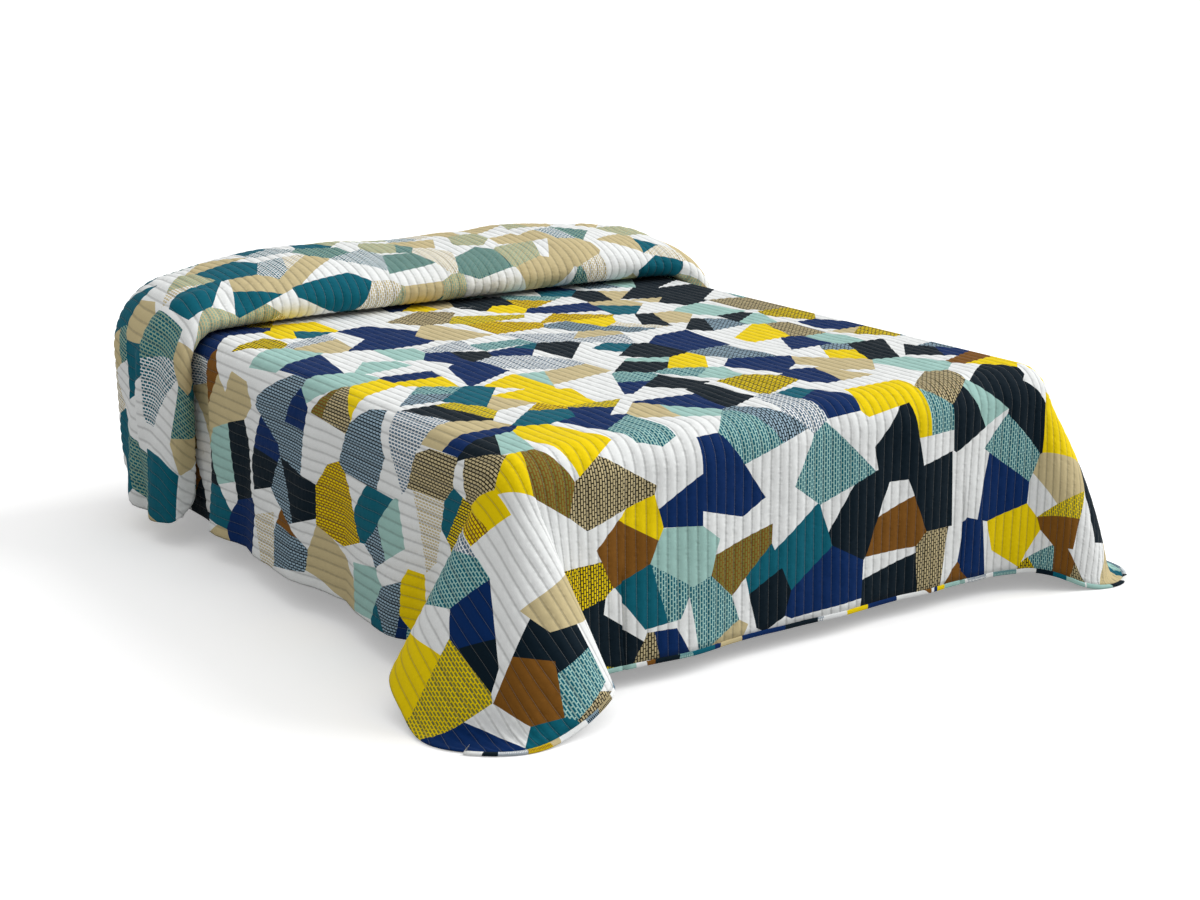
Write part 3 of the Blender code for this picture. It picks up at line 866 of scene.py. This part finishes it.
def calc(tree, operation, a, b=0.0, c=None):
    """A Math node's result."""
    inputs = {0: a, 1: b}
    if c is not None:
        inputs[2] = c
    return add_node(tree, "ShaderNodeMath", inputs, operation=operation).outputs[0]


def new_group(name, inputs, outputs):
    """An empty node group with named sockets. Inputs give their default values."""
    group = bpy.data.node_groups.new(name, "ShaderNodeTree")
    for label, kind, value in inputs:
        socket = group.interface.new_socket(label, in_out="INPUT", socket_type=kind)
        socket.default_value = value
    for label, kind in outputs:
        group.interface.new_socket(label, in_out="OUTPUT", socket_type=kind)
    return group, group.nodes.new("NodeGroupInput"), group.nodes.new("NodeGroupOutput")


# %% [markdown]
# The print is a generic patchwork in the colours and scale of the real one. A Voronoi pattern
# gives cells, a straight cut leaves a white wedge at one side of each, a second cut divides about
# half of them, and a random number for each piece picks its colour. Short dashes in offset rows
# run along the cloth in some pieces.

# %% Patchwork group
# Columns: how far a cut's place varies, where it starts. Both are shares of the cell size.
WEDGE_CUT = (-0.20, -0.16)
SECOND_CUT = (0.16, -0.08)
DIVIDED_ABOVE = 0.5
JOINT_SHARE = 0.21
patchwork, patch_in, patch_out = new_group(
    "patchwork",
    [("Cloth", "NodeSocketVector", (0, 0, 0)), ("Cell size", "NodeSocketFloat", 0.28),
     ("Dash length", "NodeSocketFloat", 0.0134), ("Dash pitch", "NodeSocketFloat", 0.0066)],
    [("Patch", "NodeSocketFloat"), ("Dashes", "NodeSocketFloat")],
)
tree = patchwork
cloth_uv = patch_in.outputs["Cloth"]
cells = add_node(tree, "ShaderNodeTexVoronoi", {
    "Vector": cloth_uv, "Scale": calc(tree, "DIVIDE", 1.0, patch_in.outputs["Cell size"]),
    "Randomness": 0.9,
}, voronoi_dimensions="2D", feature="F1")
from_middle = add_node(tree, "ShaderNodeVectorMath", {0: cloth_uv, 1: cells.outputs["Position"]},
                       operation="SUBTRACT")
offset = add_node(tree, "ShaderNodeSeparateXYZ", {0: from_middle.outputs[0]})
dice = add_node(tree, "ShaderNodeSeparateColor", {0: cells.outputs["Color"]})
first_turn = calc(tree, "MULTIPLY", dice.outputs[0], 2 * pi)
second_turn = calc(tree, "ADD", first_turn, calc(tree, "MULTIPLY_ADD", dice.outputs[1], 0.9, 1.1))


def past_cut(turn, offset_share):
    """1 past a straight cut through a cell and 0 before it."""
    reach = calc(tree, "ADD",
                 calc(tree, "MULTIPLY", offset.outputs[0], calc(tree, "COSINE", turn)),
                 calc(tree, "MULTIPLY", offset.outputs[1], calc(tree, "SINE", turn)))
    return calc(tree, "GREATER_THAN", reach,
                calc(tree, "MULTIPLY", patch_in.outputs["Cell size"], offset_share))


coloured = past_cut(first_turn, calc(tree, "MULTIPLY_ADD", dice.outputs[2], *WEDGE_CUT))
divided = calc(tree, "GREATER_THAN", dice.outputs[1], DIVIDED_ABOVE)
second_part = calc(tree, "MULTIPLY", divided, past_cut(
    second_turn, calc(tree, "MULTIPLY_ADD", dice.outputs[0], *SECOND_CUT)))
part_number = calc(tree, "MULTIPLY", coloured, calc(tree, "ADD", second_part, 1.0))
key = add_node(tree, "ShaderNodeCombineXYZ",
               {0: dice.outputs[0], 1: dice.outputs[1], 2: part_number})
patch_dice = add_node(tree, "ShaderNodeTexWhiteNoise", {"Vector": key.outputs[0]},
                      noise_dimensions="3D")
swap = add_node(tree, "ShaderNodeSeparateXYZ", {0: cloth_uv})
bricks_at = add_node(tree, "ShaderNodeCombineXYZ", {0: swap.outputs[1], 1: swap.outputs[0], 2: 0.0})
bricks = add_node(tree, "ShaderNodeTexBrick", {
    "Vector": bricks_at.outputs[0], "Color1": (1, 1, 1, 1), "Color2": (1, 1, 1, 1),
    "Mortar": (0, 0, 0, 1), "Scale": 1.0,
    "Mortar Size": calc(tree, "MULTIPLY", patch_in.outputs["Dash pitch"], JOINT_SHARE),
    "Mortar Smooth": 0.15, "Bias": 0.0, "Brick Width": patch_in.outputs["Dash length"],
    "Row Height": patch_in.outputs["Dash pitch"],
}, offset=0.5, offset_frequency=2, squash=1.0)
# the wedges get 0, the palettes' first colour, which is white
tree.links.new(calc(tree, "MULTIPLY", patch_dice.outputs["Value"], coloured), patch_out.inputs["Patch"])
tree.links.new(bricks.outputs["Color"], patch_out.inputs["Dashes"])
print("patchwork nodes", len(tree.nodes))

# %% [markdown]
# The quilting runs along the cloth. Each line is a fine groove with a stitch every 3 mm in pale
# thread, and the cloth beside it gathers into small puckers, stronger near the line. The same
# group adds a broad, slight crumpling, which keeps the big white pieces from looking flat.

# %% Quilting group
GROOVE_REACH = 0.0044
PUCKER_REACH = 0.009
LINE_WOBBLE = 0.03
STITCH_LENGTH = 0.0034
STITCH_SHARE = 0.78
THREAD_HALF_WIDTH = 0.00055
PUCKER_HEIGHT = 0.0035
CRUMPLE_HEIGHT = 0.010
GROOVE_DEPTH = 0.0006
THREAD_RISE = 0.00025
quilting, quilt_in, quilt_out = new_group(
    "quilting",
    [("Cloth", "NodeSocketVector", (0, 0, 0)), ("Pitch", "NodeSocketFloat", CHANNEL_PITCH)],
    [("Groove", "NodeSocketFloat"), ("Thread", "NodeSocketFloat"), ("Height", "NodeSocketFloat")],
)
tree = quilting
place = add_node(tree, "ShaderNodeSeparateXYZ", {0: quilt_in.outputs["Cloth"]})
wobble_place = add_node(tree, "ShaderNodeVectorMath", {
    0: quilt_in.outputs["Cloth"], 1: (41.0, 9.0, 1.0)}, operation="MULTIPLY")
wobble = add_node(tree, "ShaderNodeTexNoise", {
    "Vector": wobble_place.outputs[0], "Scale": 1.0, "Detail": 1.0}, noise_dimensions="2D")
turns = calc(tree, "ADD", calc(tree, "DIVIDE", place.outputs[0], quilt_in.outputs["Pitch"]),
             calc(tree, "MULTIPLY_ADD", wobble.outputs["Fac"], LINE_WOBBLE, -LINE_WOBBLE / 2))
from_line = calc(tree, "PINGPONG", turns, 0.5)
distance = calc(tree, "MULTIPLY", from_line, quilt_in.outputs["Pitch"])
groove = add_node(tree, "ShaderNodeMapRange", {
    "Value": distance, "From Min": 0.0, "From Max": GROOVE_REACH, "To Min": 1.0, "To Max": 0.0,
}, interpolation_type="SMOOTHERSTEP").outputs[0]
near_line = add_node(tree, "ShaderNodeMapRange", {
    "Value": distance, "From Min": 0.0, "From Max": PUCKER_REACH, "To Min": 1.0, "To Max": 0.15,
}, interpolation_type="SMOOTHSTEP").outputs[0]
along_stitch = calc(tree, "FRACT", calc(tree, "DIVIDE", place.outputs[1], STITCH_LENGTH))
stitch = calc(tree, "LESS_THAN", along_stitch, STITCH_SHARE)
on_thread = calc(tree, "LESS_THAN", distance, THREAD_HALF_WIDTH)
thread = calc(tree, "MULTIPLY", stitch, on_thread)
pucker_place = add_node(tree, "ShaderNodeVectorMath", {
    0: quilt_in.outputs["Cloth"], 1: (38.0, 92.0, 1.0)}, operation="MULTIPLY")
pucker = add_node(tree, "ShaderNodeTexNoise", {
    "Vector": pucker_place.outputs[0], "Scale": 1.0, "Detail": 1.5, "Roughness": 0.5,
}, noise_dimensions="2D")
crumple = add_node(tree, "ShaderNodeTexNoise", {
    "Vector": quilt_in.outputs["Cloth"], "Scale": 8.0, "Detail": 3.0, "Roughness": 0.5,
}, noise_dimensions="2D")
puckers = calc(tree, "MULTIPLY", calc(tree, "SUBTRACT", pucker.outputs["Fac"], 0.5), near_line)
height = calc(tree, "MULTIPLY_ADD", puckers, PUCKER_HEIGHT,
              calc(tree, "MULTIPLY", crumple.outputs["Fac"], CRUMPLE_HEIGHT))
height = calc(tree, "SUBTRACT", height, calc(tree, "MULTIPLY", groove, GROOVE_DEPTH))
height = calc(tree, "ADD", height, calc(tree, "MULTIPLY", thread, THREAD_RISE))
tree.links.new(groove, quilt_out.inputs["Groove"])
tree.links.new(thread, quilt_out.inputs["Thread"])
tree.links.new(height, quilt_out.inputs["Height"])
print("quilting nodes", len(tree.nodes))

# %% [markdown]
# Plain weave is two sets of threads that pass over and under each other. Multiplying two sine
# waves gives the raised spots, and a little noise makes the yarns uneven.

# %% Weave group
weave, weave_in, weave_out = new_group(
    "weave",
    [("Cloth", "NodeSocketVector", (0, 0, 0)), ("Thread width", "NodeSocketFloat", 0.0007)],
    [("Yarn", "NodeSocketFloat"), ("Fleck", "NodeSocketFloat")],
)
tree = weave
scaled = add_node(tree, "ShaderNodeVectorMath", {
    0: weave_in.outputs["Cloth"], "Scale": calc(tree, "DIVIDE", pi, weave_in.outputs["Thread width"]),
}, operation="SCALE")
axes = add_node(tree, "ShaderNodeSeparateXYZ", {0: scaled.outputs[0]})
yarn = calc(tree, "MULTIPLY", calc(tree, "SINE", axes.outputs[0]), calc(tree, "SINE", axes.outputs[1]))
fleck_place = add_node(tree, "ShaderNodeVectorMath", {
    0: weave_in.outputs["Cloth"], 1: (900.0, 120.0, 1.0)}, operation="MULTIPLY")
fleck = add_node(tree, "ShaderNodeTexNoise", {
    "Vector": fleck_place.outputs[0], "Scale": 1.0, "Detail": 2.0}, noise_dimensions="2D")
tree.links.new(calc(tree, "MULTIPLY_ADD", yarn, 0.5, 0.5), weave_out.inputs["Yarn"])
tree.links.new(fleck.outputs["Fac"], weave_out.inputs["Fleck"])
print("weave nodes", len(tree.nodes))


# %% [markdown]
# ## The printed cottons
# Each palette is a short table: the share of pieces that get the colour, the ground colour and
# the colour of the dashes on it, which is the ground colour again where a piece is plain. Colours
# are typed as eight-bit values and turned into linear light. They were adjusted by comparing the
# render's tones with tones measured on the photographed cloth.

# %% Palettes
WHITE, NAVY, INK = (240, 242, 241), (3, 42, 95), (6, 25, 36)
PETROL, AQUA, MUSTARD = (6, 96, 114), (163, 202, 194), (242, 212, 0)
SAND, BROWN, BARK, OLIVE = (204, 188, 144), (126, 82, 26), (42, 38, 26), (126, 124, 56)
SLATE, DUSTY, SAGE = (84, 110, 132), (156, 182, 198), (148, 176, 154)

FACE_PALETTE = [
    (0.02, WHITE, WHITE), (0.14, NAVY, NAVY), (0.16, INK, INK), (0.08, PETROL, PETROL),
    (0.09, AQUA, AQUA), (0.08, MUSTARD, MUSTARD), (0.09, SAND, SAND), (0.035, BROWN, BROWN),
    (0.06, WHITE, SLATE), (0.02, WHITE, SAND), (0.04, BARK, MUSTARD), (0.015, BROWN, OLIVE),
    (0.06, AQUA, PETROL), (0.06, INK, DUSTY), (0.04, BARK, SAND), (0.025, BROWN, MUSTARD),
    (0.015, MUSTARD, OLIVE),
]
BACK_PALETTE = [
    (0.03, WHITE, WHITE), (0.23, PETROL, PETROL), (0.25, SAND, SAND), (0.09, WHITE, PETROL),
    (0.11, WHITE, SAND), (0.16, SAND, SAGE), (0.13, SAGE, PETROL),
]


def linear(colour):
    """An eight-bit colour as linear light, with full opacity."""
    parts = [c / 255 for c in colour]
    return tuple(c / 12.92 if c <= 0.04045 else ((c + 0.055) / 1.055)**2.4 for c in parts) + (1,)


def palette_ramp(tree, value, palette, column):
    """A stepped colour ramp from one column of a palette."""
    ramp = add_node(tree, "ShaderNodeValToRGB", {0: value})
    ramp.color_ramp.interpolation = "CONSTANT"
    total = sum(row[0] for row in palette)
    start = 0.0
    for i, row in enumerate(palette):
        if i == 0:
            stop = ramp.color_ramp.elements[0]
            stop.position = 0.0
        elif i == 1:
            stop = ramp.color_ramp.elements[1]
            stop.position = start
        else:
            stop = ramp.color_ramp.elements.new(start)
        stop.color = linear(row[column])
        start += row[0] / total
    return ramp.outputs["Color"]


print("face colours", len(FACE_PALETTE), "reverse colours", len(BACK_PALETTE))


# %% Helpers for colours and groups
def mix_colour(tree, kind, factor, a, b):
    """A Mix node's colour result."""
    node = tree.nodes.new("ShaderNodeMix")
    node.data_type = "RGBA"
    node.blend_type = kind
    for socket, value in ((node.inputs[0], factor), (node.inputs[6], a), (node.inputs[7], b)):
        if hasattr(value, "is_output"):
            tree.links.new(value, socket)
        else:
            socket.default_value = value
    return node.outputs[2]


def use_group(tree, group, inputs):
    """A node that holds a shared group."""
    return add_node(tree, "ShaderNodeGroup", inputs, node_tree=group)


print("node groups", len(bpy.data.node_groups))

# %% [markdown]
# One function makes the material of both sides and of the binding. Print comes first, then the
# yarns' slight unevenness, then painted shade that darkens the colour in the quilting grooves,
# and the thread in the quilting lines. Matt cotton needs a rough, weak gloss and hardly any sheen.

# %% Printed cotton
# Painted shade: GROOVE_SHADE is how much the colour darkens in each quilting groove, where the groove
# lies in shadow.
GROOVE_SHADE = 0.24
THREAD_SHOW = 0.14
THREAD_COLOUR = (214, 218, 216)
YARN_HEIGHT = 0.00005


def printed_cotton(name, uv_name, palette, cell, place_on_print, quilted=True):
    """A printed cotton: patchwork over a woven bump; when quilted, painted shade darkens each groove and
    the thread shows along it.
    """
    made = bpy.data.materials.new(name)
    made.use_nodes = True
    tree = made.node_tree
    shader = tree.nodes["Principled BSDF"]
    uv = add_node(tree, "ShaderNodeUVMap", uv_map=uv_name).outputs[0]
    moved = add_node(tree, "ShaderNodeMapping", {
        "Vector": uv, "Location": (*place_on_print, 0)}).outputs[0]
    patch = use_group(tree, patchwork, {"Cloth": moved, "Cell size": cell})
    ground = palette_ramp(tree, patch.outputs["Patch"], palette, 1)
    dashes = palette_ramp(tree, patch.outputs["Patch"], palette, 2)
    colour = mix_colour(tree, "MIX", patch.outputs["Dashes"], ground, dashes)
    woven = use_group(tree, weave, {"Cloth": uv})
    shade = add_node(tree, "ShaderNodeMapRange", {
        "Value": woven.outputs["Fleck"], "From Min": 0.3, "From Max": 0.7,
        "To Min": 0.95, "To Max": 1.03}).outputs[0]
    colour = mix_colour(tree, "MULTIPLY", 1.0, colour, shade)
    height = calc(tree, "MULTIPLY", woven.outputs["Yarn"], YARN_HEIGHT)
    if quilted:
        lines = use_group(tree, quilting, {"Cloth": uv})
        # Painted shade: the colour is darkened along each quilting groove, as if the groove were in
        # shadow.
        painted_groove_shade = calc(tree, "MULTIPLY_ADD", lines.outputs["Groove"], -GROOVE_SHADE, 1.0)
        colour = mix_colour(tree, "MULTIPLY", 1.0, colour, painted_groove_shade)
        showing = calc(tree, "MULTIPLY", lines.outputs["Thread"], THREAD_SHOW)
        colour = mix_colour(tree, "MIX", showing, colour, linear(THREAD_COLOUR))
        height = calc(tree, "ADD", height, lines.outputs["Height"])
    bump = add_node(tree, "ShaderNodeBump", {
        "Strength": 1.0, "Distance": 1.0, "Height": height}).outputs[0]
    tree.links.new(colour, shader.inputs["Base Color"])
    tree.links.new(bump, shader.inputs["Normal"])
    shader.inputs["Roughness"].default_value = 0.85
    shader.inputs["Specular IOR Level"].default_value = 0.12
    shader.inputs["Sheen Weight"].default_value = 0.03
    shader.inputs["Sheen Roughness"].default_value = 0.4
    return made


print("groove shade", GROOVE_SHADE, "thread show", THREAD_SHOW)

# %% [markdown]
# The two sides carry prints of nearly the same scale, in different palettes. Each call moves the
# pattern to another stretch of itself, so that the sides and the binding don't repeat each other.
# The face's stretch is the one of several tried whose mix of tones came nearest the real cloth's.

# %% Dress the cloth
face_cotton = printed_cotton("printed_cotton", "flat_cloth", FACE_PALETTE, 0.148, (6.64, 7.53))
back_cotton = printed_cotton("reverse_cotton", "flat_cloth", BACK_PALETTE, 0.136, (7.4, 5.2))
band_cotton = printed_cotton("binding_print", "strip", FACE_PALETTE, 0.27, (1.3, 4.4), False)
spread.data.materials[0] = face_cotton
spread.data.materials[1] = back_cotton
binding.data.materials.clear()
binding.data.materials.append(band_cotton)
print("sheet slots in use", sorted({face.material_index for face in spread.data.polygons}))

# %% [markdown]
# ## The bed's finishes
# The bed is plain: cream ticking on the mattress, a pale pillow cotton, a grey woven cover on the
# base and dark paint on the plinth. They read Object coordinates, in metres.

# %% Bed cloths
def plain_cloth(name, light, dark, thread_width, roughness=0.9):
    """A woven cloth of two close tones with uneven yarns."""
    made = bpy.data.materials.new(name)
    made.use_nodes = True
    tree = made.node_tree
    shader = tree.nodes["Principled BSDF"]
    spot = add_node(tree, "ShaderNodeTexCoord").outputs["Object"]
    turned = add_node(tree, "ShaderNodeMapping", {
        "Vector": spot, "Rotation": (0.6, 0.5, 0.3)}).outputs[0]
    woven = use_group(tree, weave, {"Cloth": turned, "Thread width": thread_width})
    cloud = add_node(tree, "ShaderNodeTexNoise", {"Vector": spot, "Scale": 6.0, "Detail": 4.0})
    mixed = calc(tree, "MULTIPLY_ADD", woven.outputs["Yarn"], 0.4,
                 calc(tree, "MULTIPLY", cloud.outputs["Fac"], 0.6))
    colour = mix_colour(tree, "MIX", mixed, linear(light), linear(dark))
    height = calc(tree, "MULTIPLY_ADD", woven.outputs["Yarn"], 0.00015,
                  calc(tree, "MULTIPLY", cloud.outputs["Fac"], 0.003))
    bump = add_node(tree, "ShaderNodeBump", {"Strength": 0.8, "Distance": 1.0, "Height": height})
    tree.links.new(colour, shader.inputs["Base Color"])
    tree.links.new(bump.outputs[0], shader.inputs["Normal"])
    shader.inputs["Roughness"].default_value = roughness
    shader.inputs["Sheen Weight"].default_value = 0.15
    return made


ticking = plain_cloth("mattress_ticking", (236, 233, 224), (214, 210, 198), 0.0012)
pillow_cotton = plain_cloth("pillow_case_cotton", (244, 244, 241), (230, 230, 226), 0.0008)
base_cloth = plain_cloth("base_woven_cover", (128, 126, 122), (96, 94, 91), 0.0022)
print("plain cloths made", ticking.name, pillow_cotton.name, base_cloth.name)

# %% [markdown]
# The plinth is a set-back timber frame in dark paint. A little noise makes its tone and its gloss
# uneven, as rolled paint is.

# %% Plinth paint
plinth_paint = bpy.data.materials.new("plinth_dark_paint")
plinth_paint.use_nodes = True
tree = plinth_paint.node_tree
shader = tree.nodes["Principled BSDF"]
spot = add_node(tree, "ShaderNodeTexCoord").outputs["Object"]
grain = add_node(tree, "ShaderNodeTexNoise", {"Vector": spot, "Scale": 60.0, "Detail": 5.0})
tree.links.new(mix_colour(tree, "MIX", grain.outputs["Fac"], linear((34, 33, 32)),
                          linear((50, 48, 46))), shader.inputs["Base Color"])
tree.links.new(calc(tree, "MULTIPLY_ADD", grain.outputs["Fac"], 0.2, 0.45),
               shader.inputs["Roughness"])
bump = add_node(tree, "ShaderNodeBump", {
    "Strength": 0.3, "Distance": 1.0,
    "Height": calc(tree, "MULTIPLY", grain.outputs["Fac"], 0.0004)})
tree.links.new(bump.outputs[0], shader.inputs["Normal"])
print("paint nodes", len(tree.nodes))

# %% [markdown]
# Each piece of the bed now gets its finish. The plinth keeps its own solid, because flat painted
# boards need no finer form.

# %% Dress the bed
for made, finish in [(mattress, ticking), *((p, ticking) for p in piping),
                     *((p, pillow_cotton) for p in pillows), (base, base_cloth),
                     *((w, base_cloth) for w in welts)]:
    made.data.materials.clear()
    made.data.materials.append(finish)
for material_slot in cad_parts["plinth"].material_slots:
    material_slot.material = plinth_paint
print("materials", len(bpy.data.materials))

# %% [markdown]
# ## Floor and light
# The photograph is a studio shot on white. A large pale floor, a white world and two very wide
# suns give the soft light that is strongest from above and from the foot, and weakest on the
# near side. To the camera the floor also glows a little, as lit studio paper does.

# %% Floor
FLOOR_BOUNCE = 0.58
PAPER_GLOW = 0.30
bpy.ops.object.select_all(action="DESELECT")
bpy.ops.mesh.primitive_plane_add(size=400, location=(0, 0, 0))
floor = bpy.context.object
floor.name = "studio_floor"
paper = bpy.data.materials.new("studio_paper")
paper.use_nodes = True
tree = paper.node_tree
shader = tree.nodes["Principled BSDF"]
spot = add_node(tree, "ShaderNodeTexCoord").outputs["Object"]
tooth = add_node(tree, "ShaderNodeTexNoise", {"Vector": spot, "Scale": 3.0, "Detail": 2.0})
lit = mix_colour(tree, "MIX", tooth.outputs["Fac"], (0.96, 0.96, 0.96, 1), (0.98, 0.98, 0.98, 1))
seen = add_node(tree, "ShaderNodeLightPath").outputs["Is Camera Ray"]
tree.links.new(mix_colour(tree, "MIX", seen, (FLOOR_BOUNCE,) * 3 + (1,), lit),
               shader.inputs["Base Color"])
shader.inputs["Roughness"].default_value = 0.9
shader.inputs["Specular IOR Level"].default_value = 0.1
shader.inputs["Emission Color"].default_value = (1, 1, 1, 1)
tree.links.new(calc(tree, "MULTIPLY", seen, PAPER_GLOW), shader.inputs["Emission Strength"])
floor.data.materials.append(paper)

# %% [markdown]
# Two suns light the cloth: a weak one almost overhead and a stronger one lower, on the far side.
# A sun with a wide angle works like a wall of diffused light, so the shadows stay soft. The white
# world fills them in.

# %% Light
ROOM_LIGHT = 0.52
world = bpy.context.scene.world or bpy.data.worlds.new("studio")
bpy.context.scene.world = world
world.use_nodes = True
tree = world.node_tree
backdrop = tree.nodes["Background"]
backdrop.inputs["Color"].default_value = (1, 1, 1, 1)
seen = add_node(tree, "ShaderNodeLightPath").outputs["Is Camera Ray"]
tree.links.new(calc(tree, "MULTIPLY_ADD", seen, 1 - ROOM_LIGHT, ROOM_LIGHT),
               backdrop.inputs["Strength"])
bpy.context.scene.view_settings.view_transform = "Standard"


def soft_sun(name, rise, bearing, spread_angle, strength):
    """A very wide sun, like a wall of diffused light: rise above the floor, bearing round from +Y."""
    bpy.ops.object.select_all(action="DESELECT")
    towards = Vector((
        sin(radians(bearing)) * cos(radians(rise)), cos(radians(bearing)) * cos(radians(rise)),
        sin(radians(rise)),
    ))
    turn = towards.to_track_quat("Z", "Y").to_euler()
    bpy.ops.object.light_add(type="SUN", location=towards * 5, rotation=turn)
    light = bpy.context.object
    light.name = name
    light.data.angle = radians(spread_angle)
    light.data.energy = strength
    print(name, strength)
    return light


soft_sun("overhead", 78, 60, 60, 0.50)
soft_sun("foot_side", 33, 109, 40, 2.10)

# %% [markdown]
# ## Tie the pieces to the frame
# Each new piece rides on the frame's body, and the frame's solids that it stands for are hidden.

# %% Ride and replace
for piece, nodes, slot in (
    (spread, ["bedspread"], "quilted_cotton"),
    (binding, ["binding"], "binding_cotton"),
    (mattress, ["mattress"], "mattress_cover"),
    (piping[0], [], "mattress_cover"),
    (piping[1], [], "mattress_cover"),
    (pillows[0], ["pillow_near"], "pillow_cotton"),
    (pillows[1], ["pillow_far"], "pillow_cotton"),
    (base, ["base"], "base_cover"),
    (welts[0], [], "base_cover"),
    (welts[1], [], "base_cover"),
):
    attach(piece, "root")
    if nodes:
        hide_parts(*nodes)
